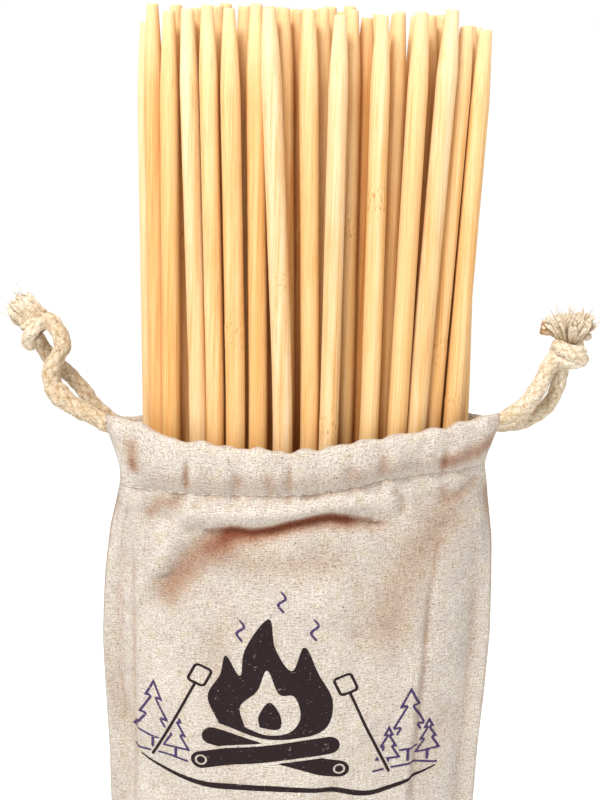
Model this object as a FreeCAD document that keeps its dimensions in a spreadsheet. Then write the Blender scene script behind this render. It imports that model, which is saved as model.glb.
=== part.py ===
# Drawstring storage bag with a bundle of bamboo roasting sticks standing in it.
# Millimetres, +Z up, along the sticks. The origin is the middle of the bag's flat base.
# The front of the bag faces -Y, its left end is at -X.
import FreeCAD, Part
import math
import os
import Sketcher

V = FreeCAD.Vector
FRONT, BACK = -1, 1
ENDS = (("left", -1), ("right", 1))

# ---------------------------------------------------------------- dimensions
# Lens-shaped section of the bag, foot to mouth: height, half width, half depth
SECTIONS = [
    (0.0, 41.0, 18.0), (55.0, 44.0, 19.5), (245.0, 46.5, 19.5), (445.0, 49.5, 19.5),
    (575.0, 52.5, 19.5), (632.0, 50.0, 19.5), (648.3, 48.4, 19.5),
]

# One row for each stick: foot x, foot y, lean in x, lean in y, length, diameter.
# A lean is the sideways run for each millimetre of rise.
STICKS = [
    (-10.985, -10.902, -0.011365, -0.000969, 763.53, 5.00),
    (-5.885, -9.266, -0.009834, -0.002823, 764.68, 4.90),
    (-0.446, -11.708, -0.009769, -0.002170, 764.11, 5.10),
    (3.150, -7.734, -0.004186, -0.005609, 763.91, 4.80),
    (4.967, -13.239, 0.001735, -0.000014, 762.84, 4.90),
    (9.834, -11.012, 0.009627, -0.000414, 763.09, 4.90),
    (-26.294, -4.498, -0.012647, -0.002496, 762.29, 4.80),
    (-20.907, -8.068, -0.011518, -0.000639, 762.94, 4.80),
    (-15.647, -8.471, -0.012130, -0.002649, 764.06, 4.70),
    (-12.121, -4.527, -0.006266, -0.000669, 764.04, 5.00),
    (-1.782, -5.877, -0.006004, -0.003012, 764.05, 4.90),
    (6.067, -3.302, -0.005001, -0.004112, 764.21, 5.00),
    (11.095, -5.613, -0.001700, -0.001835, 764.10, 4.70),
    (16.287, -5.175, 0.006209, -0.000335, 763.88, 4.80),
    (15.262, -10.883, 0.013447, 0.001270, 764.13, 5.10),
    (20.391, -8.749, 0.014542, 0.000642, 764.96, 5.20),
    (23.007, -4.022, 0.016605, -0.000570, 761.15, 4.80),
    (-27.451, 4.446, -0.019936, -0.003660, 759.19, 4.90),
    (-30.827, -1.802, -0.012145, -0.001813, 763.93, 4.90),
    (-23.903, 0.134, -0.012599, -0.000696, 763.77, 4.80),
    (-19.572, -2.925, -0.012445, -0.000468, 763.20, 5.00),
    (-14.841, 0.082, -0.011596, -0.003627, 763.85, 4.90),
    (-7.051, -1.298, -0.002679, -0.002057, 763.82, 4.90),
    (-0.036, -0.732, -0.004134, -0.004038, 763.51, 5.00),
    (4.621, 1.750, -0.000957, -0.002329, 764.60, 4.70),
    (9.656, 3.009, -0.000840, -0.004322, 764.89, 4.70),
    (13.520, -0.764, -0.000273, -0.003251, 762.17, 4.80),
    (16.198, 3.717, 0.004975, -0.003175, 763.32, 4.80),
    (18.967, -0.709, 0.011796, -0.002258, 763.44, 4.80),
    (24.047, 1.179, 0.009405, 0.001512, 763.46, 5.00),
    (28.210, -3.269, 0.016462, 0.000132, 760.45, 4.90),
    (33.031, 0.193, 0.012484, 0.002117, 761.09, 4.80),
    (-23.153, 7.540, -0.014217, -0.001081, 762.05, 4.80),
    (-19.961, 3.492, -0.009653, 0.001765, 762.97, 4.70),
    (-14.933, 5.383, -0.009113, -0.003305, 764.49, 4.90),
    (-9.069, 4.734, -0.004501, 0.001023, 763.18, 4.80),
    (-0.154, 4.694, -0.002930, -0.000239, 763.01, 5.00),
    (6.493, 7.539, -0.000044, 0.000130, 763.55, 4.70),
    (13.166, 8.089, 0.003181, -0.001217, 763.12, 5.00),
    (19.463, 7.732, 0.007312, -0.000744, 762.98, 4.70),
    (24.615, 6.577, 0.011844, 0.001005, 761.84, 5.00),
    (28.902, 3.356, 0.012327, 0.001904, 760.66, 4.80),
    (-13.888, 10.651, -0.006148, -0.001071, 762.22, 5.00),
    (-3.697, 9.897, -0.003626, 0.002142, 763.60, 4.80),
]

DIMENSIONS = {
    # bag cloth; each outer half section stops half the panel gap short of y = 0
    "cloth_thick": 0.9,
    "base_thick": 1.2,
    "panel_gap": 0.10,
    "mouth_overrun": 0.01,
    # drawstring casing: a curved band of folded cloth on each panel, open at both ends
    "casing_bottom": 647.0,
    "rim_height": 660.5,
    "casing_radius": 97.75,
    "casing_centre": 77.75,
    "casing_halfthick": 3.1,
    "casing_halfspan": 46.0,
    "tunnel_halfthick": 2.42,
    "tunnel_bottom": 648.7,
    "tunnel_top": 659.7,
    "tunnel_overrun": 3.0,
    "trim_margin": 1.0,
    "trim_deep": 40.0,
    # cords
    "cord_radius_inside": 2.1,
    "cord_radius": 2.3,
    "cord_low": 651.5,
    "cord_high": 657.1,
    "cord_exit": 52.0,
    "pivot_offset": 55.6,
    # knots and tassels
    "knot_offset": 70.0,
    "knot_height": 680.7,
    "knot_lean": 0.12,
    "knot_wide": 5.2,
    "knot_tall": 4.7,
    "tassel_gap": 0.25,
    "tassel_base": 2.9,
    "tassel_top": 7.6,
    "tassel_tall": 7.8,
    # sticks
    "tip_radius": 1.55,
    "taper_long": 18.0,
    "edge_break": 0.35,
    "floor_gap": 2.2,
    # thread and the hem rows
    "thread_radius": 0.24,
    "stitch_long": 2.4,
    "stitch_count": 28,
    "thread_gap": 0.34,
    "hem_rise": 1.1,
    "hem_end_gap": 2.0,
    # side seams
    "side_first": 6.0,
    "side_end": 626.0,
    "side_pitch": 9.2,
    "side_stitch": 6.0,
    "side_gap": 0.5,
    # bottom seam
    "bottom_first": -36.0,
    "bottom_end": 33.0,
    "bottom_pitch": 7.6,
    "bottom_stitch": 5.0,
    "bottom_gap": 0.06,
}
for n, (height, half_wide, half_deep) in enumerate(SECTIONS):
    DIMENSIONS["level_%02d" % n] = height
    DIMENSIONS["halfwide_%02d" % n] = half_wide
    DIMENSIONS["halfdeep_%02d" % n] = half_deep
for n, stick_row in enumerate(STICKS, 1):
    DIMENSIONS["stick_%02d_long" % n] = stick_row[4]
    DIMENSIONS["stick_%02d_dia" % n] = stick_row[5]

doc = FreeCAD.newDocument("roasting_stick_bag")
sheet = doc.addObject("Spreadsheet::Sheet", "Sheet")
for row, (alias, value) in enumerate(DIMENSIONS.items(), 1):
    sheet.set("A%d" % row, alias)
    sheet.set("B%d" % row, repr(float(value)))
    sheet.setAlias("B%d" % row, alias)
doc.recompute()


# ---------------------------------------------------------------- helpers
pieces = []


def size(alias):
    return float(sheet.get(alias))


def keep(obj, label):
    """Mark an object as a piece to export."""
    obj.Label = label
    pieces.append(obj)


def add(kind, name, bound=None, **fixed):
    """Add an object with fixed properties and properties bound to expressions."""
    obj = doc.addObject(kind, name)
    for prop, value in fixed.items():
        setattr(obj, prop, value)
    for path, expression in (bound or {}).items():
        obj.setExpression(path, expression)
    return obj


def feature(label, shape):
    keep(add("Part::Feature", label, Shape=shape), label)


def origin_part(body, role):
    return [f for f in body.Origin.OriginFeatures if f.Role == role][0]


def body_sketch(body, name, plane_role):
    sketch = body.newObject("Sketcher::SketchObject", name)
    sketch.AttachmentSupport = [(origin_part(body, plane_role), "")]
    sketch.MapMode = "FlatFace"
    return sketch


def constrain(sketch, expression, *definition):
    """Add a dimensional constraint driven by the sheet."""
    index = sketch.addConstraint(Sketcher.Constraint(*definition))
    sketch.setExpression("Constraints[%d]" % index, expression)


# ---------------------------------------------------------------- bag panels
def lens_sketch(name, n, side, inner):
    """Half of lens section n: one circular arc and its chord."""
    half_wide, half_deep = size("halfwide_%02d" % n), size("halfdeep_%02d" % n)
    lens_radius = (half_wide ** 2 + half_deep ** 2) / (2 * half_deep)
    # the arc's centre sits on the far side of the chord
    centre = lens_radius - half_deep
    if inner:
        radius = lens_radius - size("cloth_thick")
        chord = -size("panel_gap") / 2
        lift = {0: " + Sheet.base_thick", len(SECTIONS) - 1: " + Sheet.mouth_overrun"}.get(n, "")
    else:
        radius = lens_radius
        chord = size("panel_gap") / 2
        lift = ""
    rise = centre + chord
    half_chord = math.sqrt(radius * radius - rise * rise)
    start = math.atan2(rise, half_chord)
    end = math.pi - start
    if side == FRONT:
        start, end = math.pi + start, math.pi + end

    sketch = doc.addObject("Sketcher::SketchObject", name)
    circle = Part.Circle(V(0, -side * centre, 0), V(0, 0, 1), radius)
    sketch.addGeometry(Part.ArcOfCircle(circle, start, end), False)
    y = side * chord
    sketch.addGeometry(Part.LineSegment(V(-half_chord, y, 0), V(half_chord, y, 0)), False)
    sketch.Placement = FreeCAD.Placement(V(0, 0, size("level_%02d" % n)), FreeCAD.Rotation())
    sketch.setExpression("Placement.Base.z", "Sheet.level_%02d%s" % (n, lift))
    return sketch


def casing_band(name, side, half_thick, bottom, top, half_span):
    """Curved upright band, trimmed to its span; the sizes are expressions."""
    rings = []
    for kind, sign in (("big", "+"), ("small", "-")):
        rings.append(add("Part::Cylinder", "%s_%s" % (name, kind), {
            "Radius": "Sheet.casing_radius %s %s" % (sign, half_thick),
            "Height": "%s - %s" % (top, bottom),
            "Placement.Base.y": "%sSheet.casing_centre" % ("-" if side == BACK else ""),
            "Placement.Base.z": bottom,
        }))
    ring = add("Part::Cut", name + "_ring", Base=rings[0], Tool=rings[1])
    deep = size("trim_deep")
    box_at = V(0, 0 if side == BACK else -deep, 0)
    box = add("Part::Box", name + "_box", {
        "Length": "2 * %s" % half_span,
        "Height": "%s - %s + 2 * Sheet.trim_margin" % (top, bottom),
        "Placement.Base.x": "-%s" % half_span,
        "Placement.Base.z": "%s - Sheet.trim_margin" % bottom,
    }, Width=deep, Placement=FreeCAD.Placement(box_at, FreeCAD.Rotation()))
    return add("Part::Common", name, Base=ring, Tool=box)


def bag_panel(tag, side):
    """One panel with its casing; returns the panel's shell without the casing."""
    levels = range(len(SECTIONS))
    outer = [lens_sketch("%s_outer_%02d" % (tag, n), n, side, False) for n in levels]
    inner = [lens_sketch("%s_inner_%02d" % (tag, n), n, side, True) for n in levels]
    doc.recompute()
    outside = add("Part::Loft", tag + "_outside", Sections=outer, Solid=True, Ruled=False)
    inside = add("Part::Loft", tag + "_inside", Sections=inner, Solid=True, Ruled=False)
    shell = add("Part::Cut", tag + "_shell", Base=outside, Tool=inside)
    casing = casing_band(tag + "_casing", side, "Sheet.casing_halfthick",
                         "Sheet.casing_bottom", "Sheet.rim_height", "Sheet.casing_halfspan")
    tunnel = casing_band(tag + "_tunnel", side, "Sheet.tunnel_halfthick",
                         "Sheet.tunnel_bottom", "Sheet.tunnel_top",
                         "(Sheet.casing_halfspan + Sheet.tunnel_overrun)")
    joined = add("Part::Fuse", tag + "_joined", Base=shell, Tool=casing)
    keep(add("Part::Cut", tag + "_panel", Base=joined, Tool=tunnel), "bag_%s_panel" % tag)
    return shell


front_shell = bag_panel("front", FRONT)
bag_panel("back", BACK)

# ---------------------------------------------------------------- drawcords
# Centre line of the front casing; the back one is its mirror image in y = 0
casing_radius, casing_centre = size("casing_radius"), size("casing_centre")
half_span = size("casing_halfspan")
middle_y = casing_centre - casing_radius
end_y = casing_centre - math.sqrt(casing_radius ** 2 - half_span ** 2)
end_turn = math.asin(half_span / casing_radius)


def beyond_y(x):
    """Y of the straight line running on from the end of the front casing."""
    return end_y + (x - half_span) * math.tan(end_turn)


def drawcord_loop(label, open_side, z):
    """In at one end of the front casing, round the far end, back through the rear casing."""
    far_side = -open_side
    # the bend at the far end is tangent to both casings
    bend_radius = -end_y / math.cos(end_turn)
    bend_x = half_span - bend_radius * math.sin(end_turn) + bend_radius
    exit_x = size("cord_exit")
    start = V(open_side * exit_x, beyond_y(exit_x), z)
    front_near = V(open_side * half_span, end_y, z)
    front_far = V(far_side * half_span, end_y, z)
    back_far = V(far_side * half_span, -end_y, z)
    back_near = V(open_side * half_span, -end_y, z)
    stop = V(start.x, -start.y, z)
    path = Part.Wire([
        Part.makeLine(start, front_near),
        Part.Arc(front_near, V(0, middle_y, z), front_far).toShape(),
        Part.Arc(front_far, V(far_side * bend_x, 0, z), back_far).toShape(),
        Part.Arc(back_far, V(0, -middle_y, z), back_near).toShape(),
        Part.makeLine(back_near, stop),
    ])
    direction = (front_near - start).normalize()
    circle = Part.Circle(start, direction, size("cord_radius_inside"))
    profile = Part.Wire([Part.Edge(circle)])
    feature(label, path.makePipeShell([profile], True, False))


def cord_strand(points):
    """Round cord along a smooth curve, with a half ball on its first end."""
    radius = size("cord_radius")
    curve = Part.BSplineCurve()
    curve.interpolate(points)
    edge = curve.toShape()
    direction = edge.tangentAt(edge.FirstParameter)
    profile = Part.Wire([Part.Edge(Part.Circle(points[0], direction, radius))])
    cord = Part.Wire([edge]).makePipeShell([profile], True, False)
    ball = Part.makeSphere(radius, points[0], direction, -90, 0, 360)
    return cord.fuse(ball).removeSplitter()


drawcord_loop("left_drawcord_loop", -1, size("cord_low"))
drawcord_loop("right_drawcord_loop", 1, size("cord_high"))

# Strands from the ends of each loop up to its knot, the front one first
pivot_x = size("pivot_offset")
pivot_y = beyond_y(pivot_x)
low, high = size("cord_low"), size("cord_high")
STRANDS = {
    "left": [
        [(-pivot_x, pivot_y, low), (-60.4, pivot_y + 0.1, 655.0), (-66.9, -3.3, 661.0),
         (-69.4, -2.8, 667.6), (-70.0, -2.6, 673.8)],
        [(-pivot_x, -pivot_y, low), (-56.6, 3.9, 657.6), (-60.6, 3.3, 664.3),
         (-66.0, 2.8, 668.9), (-69.6, 2.6, 673.8)],
    ],
    "right": [
        [(pivot_x, pivot_y, high), (60.4, -3.9, 658.6), (66.4, -3.6, 662.6),
         (69.0, -3.0, 668.0), (69.8, -2.6, 673.4)],
        [(pivot_x, -pivot_y, high), (57.0, 3.9, 662.4), (60.8, 3.4, 667.4),
         (65.4, 2.9, 670.2), (69.2, 2.6, 673.6)],
    ],
}
for name, strands in STRANDS.items():
    solids = [cord_strand([V(*point) for point in points]) for points in strands]
    feature(name + "_cord_strands", Part.Compound(solids))


def knot_and_tassel(name, side):
    """A slightly flattened round knot, and the frayed ends spreading beyond it."""
    knot_at = V(side * size("knot_offset"), 0, size("knot_height"))
    lean = V(side * size("knot_lean"), 0, 1).normalize()
    turned = FreeCAD.Rotation(V(0, 0, 1), lean)
    knot = add("Part::Ellipsoid", name + "_knot_shape", {
        "Radius1": "Sheet.knot_tall",
        "Radius2": "Sheet.knot_wide",
        "Radius3": "Sheet.knot_wide",
    }, Angle1=-90, Angle2=90, Angle3=360, Placement=FreeCAD.Placement(knot_at, turned))
    keep(knot, name + "_cord_knot")
    tassel_at = knot_at + lean * (size("knot_tall") + size("tassel_gap"))
    tassel = add("Part::Cone", name + "_tassel_shape", {
        "Radius1": "Sheet.tassel_base",
        "Radius2": "Sheet.tassel_top",
        "Height": "Sheet.tassel_tall",
    }, Placement=FreeCAD.Placement(tassel_at, turned))
    keep(tassel, name + "_cord_tassel")


for name, side in ENDS:
    knot_and_tassel(name, side)


# ---------------------------------------------------------------- sticks
def stick(tag, foot_x, foot_y, lean_x, lean_y):
    """A turned stick: bevelled foot, straight side, tapered and bevelled tip."""
    body = doc.addObject("PartDesign::Body", tag + "_body")
    sketch = body_sketch(body, tag + "_profile", "XZ_Plane")
    radius, long_ = size(tag + "_dia") / 2, size(tag + "_long")
    tip, taper, bevel = size("tip_radius"), size("taper_long"), size("edge_break")
    radius_expr, long_expr = "Sheet.%s_dia / 2" % tag, "Sheet.%s_long" % tag
    # half profile from the foot's centre: x, what drives it, y, what drives it
    corners = [
        (0, None, 0, None),
        (radius - bevel, radius_expr + " - Sheet.edge_break", 0, None),
        (radius, radius_expr, bevel, "Sheet.edge_break"),
        (radius, radius_expr, long_ - taper, long_expr + " - Sheet.taper_long"),
        (tip + bevel, "Sheet.tip_radius + Sheet.edge_break",
         long_ - bevel, long_expr + " - Sheet.edge_break"),
        (tip, "Sheet.tip_radius", long_, long_expr),
        (0, None, long_, None),
    ]
    count = len(corners)
    for i in range(count):
        x0, _, y0, _ = corners[i]
        x1, _, y1, _ = corners[(i + 1) % count]
        sketch.addGeometry(Part.LineSegment(V(x0, y0, 0), V(x1, y1, 0)), False)
    for i in range(count):
        sketch.addConstraint(Sketcher.Constraint("Coincident", i, 2, (i + 1) % count, 1))
    sketch.addConstraint(Sketcher.Constraint("Coincident", 0, 1, -1, 1))
    sketch.addConstraint(Sketcher.Constraint("Horizontal", 0))
    sketch.addConstraint(Sketcher.Constraint("Horizontal", 5))
    sketch.addConstraint(Sketcher.Constraint("Vertical", 6))
    for i, (x, x_expr, y, y_expr) in enumerate(corners):
        if x_expr:
            constrain(sketch, x_expr, "DistanceX", -1, 1, i, 1, x)
        if y_expr:
            constrain(sketch, y_expr, "DistanceY", -1, 1, i, 1, y)
    turned = body.newObject("PartDesign::Revolution", tag + "_turned")
    turned.Profile = sketch
    turned.ReferenceAxis = (sketch, ["V_Axis"])
    turned.Angle = 360
    body.Tip = turned
    body.Placement = FreeCAD.Placement(V(foot_x, foot_y, size("floor_gap")),
                                       FreeCAD.Rotation(V(0, 0, 1), V(lean_x, lean_y, 1)))
    keep(body, tag)


for n, stick_row in enumerate(STICKS, 1):
    stick("stick_%02d" % n, *stick_row[:4])


# ---------------------------------------------------------------- thread
def hem_row(label, side):
    """Stitches along the foot of the casing, repeated round the casing's curve."""
    body = doc.addObject("PartDesign::Body", label + "_body")
    body.AllowCompound = True
    sketch = body_sketch(body, label + "_thread", "YZ_Plane")
    reach = side * (casing_radius + size("casing_halfthick") + size("thread_gap"))
    radius = size("thread_radius")
    thread = sketch.addGeometry(Part.Circle(V(reach, 0, 0), V(0, 0, 1), radius), False)
    constrain(sketch, "Sheet.thread_radius", "Radius", thread, radius)
    constrain(sketch,
              "%d * (Sheet.casing_radius + Sheet.casing_halfthick + Sheet.thread_gap)" % side,
              "DistanceX", -1, 1, thread, 3, reach)
    sketch.addConstraint(Sketcher.Constraint("PointOnObject", thread, 3, -1))
    stitch = body.newObject("PartDesign::Pad", label + "_one")
    stitch.Profile = sketch
    stitch.setExpression("Length", "Sheet.stitch_long")
    stitch.Midplane = True
    doc.recompute()
    pattern = body.newObject("PartDesign::PolarPattern", label + "_row")
    pattern.Originals = [stitch]
    pattern.Axis = (origin_part(body, "Z_Axis"), [""])
    sweep = 2 * math.degrees(math.asin((half_span - size("hem_end_gap")) / casing_radius))
    pattern.Angle = sweep
    pattern.setExpression("Occurrences", "Sheet.stitch_count")
    body.Tip = pattern
    centre = V(0, -side * casing_centre, size("casing_bottom") + size("hem_rise"))
    body.Placement = FreeCAD.Placement(centre, FreeCAD.Rotation(V(0, 0, 1), -sweep / 2))
    keep(body, label)


def stitch_starts(seam):
    """Evenly pitched starts from the seam's first station to before its end."""
    first, pitch = size(seam + "_first"), size(seam + "_pitch")
    count = math.ceil((size(seam + "_end") - first) / pitch)
    return [first + n * pitch for n in range(count)]


def straight_stitches(label, spans):
    radius = size("thread_radius")
    feature(label, Part.Compound([
        Part.makeCylinder(radius, (end - start).Length, start, end - start)
        for start, end in spans]))


def inner_corner(z):
    """Half width of the bag's inside near the join of the panels, measured on the front shell."""
    probe = Part.makeLine(V(0, -0.2, z), V(70, -0.2, z))
    return min(vertex.X for vertex in probe.common(front_shell.Shape).Vertexes)


def side_seam(name, side):
    """Stitches up the inside of one corner; the bag is sewn inside out."""
    inset = size("side_gap") + size("thread_radius")
    spans = []
    for z in stitch_starts("side"):
        top = z + size("side_stitch")
        spans.append((V(side * (inner_corner(z) - inset), 0, z),
                      V(side * (inner_corner(top) - inset), 0, top)))
    straight_stitches("side_seam_stitching_" + name, spans)


def bottom_seam():
    """Stitches along the middle of the base, just above its inner face."""
    z = size("base_thick") + size("thread_radius") + size("bottom_gap")
    straight_stitches("bottom_seam_stitching", [
        (V(x, 0, z), V(x + size("bottom_stitch"), 0, z)) for x in stitch_starts("bottom")])


hem_row("hem_stitching_front", FRONT)
hem_row("hem_stitching_back", BACK)
doc.recompute()
for name, side in ENDS:
    side_seam(name, side)
bottom_seam()
doc.recompute()

# ---------------------------------------------------------------- checks and files
faults = [(o.Name, o.State) for o in doc.Objects if "Invalid" in o.State or "Error" in o.State]
for piece in pieces:
    shape = piece.Shape
    if shape.isNull() or not shape.isValid() or not shape.Solids:
        faults.append((piece.Label, "shape"))
    if any(solid.Volume <= 0 for solid in shape.Solids):
        faults.append((piece.Label, "volume"))
if faults:
    raise SystemExit("not built: %s" % faults[:12])

os.makedirs("parts", exist_ok=True)
for piece in pieces:
    piece.Shape.exportStep("parts/%s.step" % piece.Label)
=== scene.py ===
# A drawstring bag of bamboo roasting sticks. It stands upright on the floor (+Z up), its width
# along X and its printed front towards -Y, with a cord end at each side of the mouth.
# Lengths are millimetres unless a comment says otherwise; make_mesh turns them into metres.
import math
from collections import namedtuple

import bpy
import numpy as np
from mathutils import Matrix, Vector


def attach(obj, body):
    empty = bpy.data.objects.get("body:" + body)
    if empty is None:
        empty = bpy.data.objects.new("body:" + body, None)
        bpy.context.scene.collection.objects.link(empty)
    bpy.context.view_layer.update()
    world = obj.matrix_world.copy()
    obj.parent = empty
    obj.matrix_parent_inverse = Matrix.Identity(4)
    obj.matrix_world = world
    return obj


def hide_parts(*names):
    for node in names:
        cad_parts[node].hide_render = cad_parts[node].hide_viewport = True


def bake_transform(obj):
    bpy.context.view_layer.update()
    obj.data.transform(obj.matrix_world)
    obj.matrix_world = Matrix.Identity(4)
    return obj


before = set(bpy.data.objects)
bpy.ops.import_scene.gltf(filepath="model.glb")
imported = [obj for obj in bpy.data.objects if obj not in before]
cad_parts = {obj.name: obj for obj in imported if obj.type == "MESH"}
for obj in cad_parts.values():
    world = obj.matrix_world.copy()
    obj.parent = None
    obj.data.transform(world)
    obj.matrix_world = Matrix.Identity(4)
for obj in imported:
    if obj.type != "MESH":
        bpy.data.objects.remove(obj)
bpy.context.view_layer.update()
THIN = 1       # divides the cloth's row and column counts
MM = 0.001
UV_PER_MM = 0.01


# ------------------------------------------------------------------ curves and noise
def soft(x, table, reach):
    """A table of (station, value), averaged over a reach so that it has no corners."""
    x = np.asarray(x, float)
    stations, values = np.asarray(table, float).T
    shifts = np.linspace(-1.6, 1.6, 9)
    weights = np.exp(-shifts ** 2)
    total = sum(weight * np.interp(x + shift * reach, stations, values)
                for shift, weight in zip(shifts, weights))
    return total / weights.sum()


def step(low, high, x):
    """Smooth rise from 0 at low to 1 at high."""
    t = np.clip((np.asarray(x, float) - low) / (high - low), 0, 1)
    return t * t * (3 - 2 * t)


def wave_noise(x, seed, waves):
    """Smooth noise along a line: cosines near the given wavelengths."""
    random = np.random.default_rng(seed)
    out = np.zeros_like(np.asarray(x, float))
    for wave in waves:
        for _ in range(2):
            out = out + np.cos(2 * np.pi * x / (wave * random.uniform(0.8, 1.25))
                               + random.uniform(0, 6.28))
    return out / (2 * len(waves))


def unit(vector):
    return vector / np.linalg.norm(vector)


def run_length(points):
    """Distance along a polyline at each of its points."""
    return np.concatenate([[0], np.cumsum(np.linalg.norm(np.diff(points, axis=0), axis=1))])


def smooth_curve(points, spacing):
    """A smooth curve through the points (a Catmull-Rom spline, relaxed), sampled evenly."""
    points = np.asarray(points, float)
    ext = np.vstack([2 * points[0] - points[1], points, 2 * points[-1] - points[-2]])
    t = np.linspace(0, 1, 24, endpoint=False)[:, None]
    spans = []
    for a, b, c, d in zip(ext, ext[1:], ext[2:], ext[3:]):
        spans.append(0.5 * ((2 * b) + (c - a) * t + (2 * a - 5 * b + 4 * c - d) * t ** 2
                            + (3 * b - a - 3 * c + d) * t ** 3))
    curve = np.vstack(spans + [points[-1:]])
    for _ in range(6):
        curve[1:-1] = 0.5 * curve[1:-1] + 0.25 * (curve[:-2] + curve[2:])
    along = run_length(curve)
    samples = np.linspace(0, along[-1], max(4, int(along[-1] / spacing)))
    return np.stack([np.interp(samples, along, axis) for axis in curve.T], 1)


# ------------------------------------------------------------------ mesh making
def make_mesh(name, verts, faces, uv=None, values=None):
    """A smooth-shaded object; uv and the named point values are given per vertex."""
    mesh = bpy.data.meshes.new(name)
    mesh.from_pydata((np.asarray(verts, float) * MM).tolist(), [], faces)
    if uv is not None:
        layer = mesh.uv_layers.new(name="cloth")
        corners = np.zeros(len(mesh.loops), np.int32)
        mesh.loops.foreach_get("vertex_index", corners)
        layer.data.foreach_set("uv", np.asarray(uv, np.float32)[corners].ravel())
    for key, numbers in (values or {}).items():
        attribute = mesh.attributes.new(key, "FLOAT", "POINT")
        attribute.data.foreach_set("value", np.asarray(numbers, np.float32))
    mesh.polygons.foreach_set("use_smooth", [True] * len(mesh.polygons))
    mesh.validate()
    mesh.update()
    piece = bpy.data.objects.new(name, mesh)
    bpy.context.scene.collection.objects.link(piece)
    return piece


def dress(piece, material, ride=None, replaces=None):
    """Give a piece its material and tell the frame where it belongs."""
    piece.data.materials.clear()
    piece.data.materials.append(material)
    if ride:
        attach(piece, ride)
    if replaces:
        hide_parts(replaces)
    return piece


def grid_faces(rows, cols, wrap=False, flip=False):
    i, j = np.meshgrid(np.arange(rows - 1), np.arange(cols if wrap else cols - 1), indexing="ij")
    after = (j + 1) % cols
    a, b, c, d = i * cols + j, i * cols + after, (i + 1) * cols + after, (i + 1) * cols + j
    return np.stack([a, d, c, b] if flip else [a, b, c, d], -1).reshape(-1, 4).tolist()


def end_cap(rings, sides, centre):
    last = (rings - 1) * sides
    return [[centre, last + k, last + (k + 1) % sides] for k in range(sides)]


def capped_faces(rings, sides):
    """A closed tube whose first and last cap centres follow its rings."""
    centre = rings * sides
    first = [[centre, (k + 1) % sides, k] for k in range(sides)]
    return grid_faces(rings, sides, wrap=True) + first + end_cap(rings, sides, centre + 1)


class Parts:
    """Gathers several tubes into one mesh."""

    def __init__(self):
        self.verts, self.faces, self.uv, self.groove, self.count = [], [], [], [], 0

    def add(self, verts, faces, uv=None, groove=None):
        size = len(verts)
        self.verts.append(verts)
        self.faces += [[k + self.count for k in face] for face in faces]
        self.uv.append(np.zeros((size, 2)) if uv is None else uv)
        if groove is not None:
            self.groove.append(np.broadcast_to(np.asarray(groove, float), (size,)))
        self.count += size

    def done(self, name):
        values = {"groove": np.concatenate(self.groove)} if self.groove else None
        return make_mesh(name, np.concatenate(self.verts), self.faces,
                         np.concatenate(self.uv), values)


def tube(path, radius, sides):
    """A capped tube; radius has one value per ring, or is a rings by sides table."""
    tangent = np.gradient(path, axis=0)
    tangent /= np.linalg.norm(tangent, axis=1)[:, None]
    # carry a sideways vector along the path without twist
    start = np.array([0.0, 1.0, 0.0] if abs(tangent[0, 1]) < 0.9 else [1.0, 0.0, 0.0])
    sideways = [unit(np.cross(tangent[0], start))]
    for direction in tangent[1:]:
        last = sideways[-1]
        sideways.append(unit(last - direction * np.dot(last, direction)))
    sideways = np.array(sideways)
    other = np.cross(tangent, sideways)
    if radius.ndim == 1:
        radius = radius[:, None]
    angle = np.linspace(0, 2 * np.pi, sides, endpoint=False)[None, :, None]
    rings = path[:, None] + radius[..., None] * (np.cos(angle) * sideways[:, None]
                                                 + np.sin(angle) * other[:, None])
    verts = np.vstack([rings.reshape(-1, 3), path[:1], path[-1:]])
    return verts, capped_faces(len(path), sides)


BRAID_PLIES = 5
CORD_SIDES = 50


def braid(path, radius, sides=CORD_SIDES, pitch=3.6, depth=0.34, seed=0, taper=None):
    """A soft round plait: plies wound both ways, each passing over and under the others."""
    along = run_length(path)[:, None]
    angle = np.linspace(0, 2 * np.pi, sides, endpoint=False)[None]
    twist = 2 * np.pi / pitch
    k1, k2, k3 = np.random.default_rng(seed).uniform(0, 6, 3)
    wobble = (0.55 * np.sin(along * 0.53 + k1) + 0.35 * np.sin(along * 1.21 + k2)
              + 0.3 * np.sin(angle + along * 0.4 + k3))
    right = (BRAID_PLIES * angle + twist * along + wobble) / (2 * np.pi)
    left = (BRAID_PLIES * angle - twist * along + 0.8 * wobble + 1.3) / (2 * np.pi)
    # place across a ply, -1 to 1, for each winding
    over_r, over_l = 2 * (right - np.floor(right)) - 1, 2 * (left - np.floor(left)) - 1
    right_on_top = (np.floor(right) + np.floor(left)) % 2 == 0
    height = np.where(right_on_top,
                      np.sqrt(1 - 0.86 * over_r ** 2) * (1 - 0.30 * over_l ** 2),
                      np.sqrt(1 - 0.86 * over_l ** 2) * (1 - 0.30 * over_r ** 2))
    lump = (0.05 * np.sin(along * 0.83 + k2) + 0.035 * np.sin(along * 1.9 + k3 + angle)
            + 0.03 * np.sin(2 * angle + along * 0.31 + k1))
    yarn = 0.045 * np.cos(np.where(right_on_top, 16 * over_l, 16 * over_r) + 0.6 * along)
    skin = radius * (1 + lump) + depth * (height - 0.72) + yarn
    if taper is not None:
        skin = skin * taper[:, None]
    verts, faces = tube(path, skin, sides)
    # painted shade: the groove value rises where the plies dip under each other
    groove = np.concatenate([np.clip(1.25 * (0.86 - height), 0, 1).ravel(), [0.3, 0.3]])
    uv = np.stack([np.tile(angle.ravel() * radius, len(path)), np.repeat(along.ravel(), sides)], 1)
    uv = uv * UV_PER_MM
    return verts, faces, np.vstack([uv, uv[:1], uv[-1:]]), groove


# ------------------------------------------------------------------ materials
WHITE = (1, 1, 1)
BLACK = (0, 0, 0)


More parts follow.
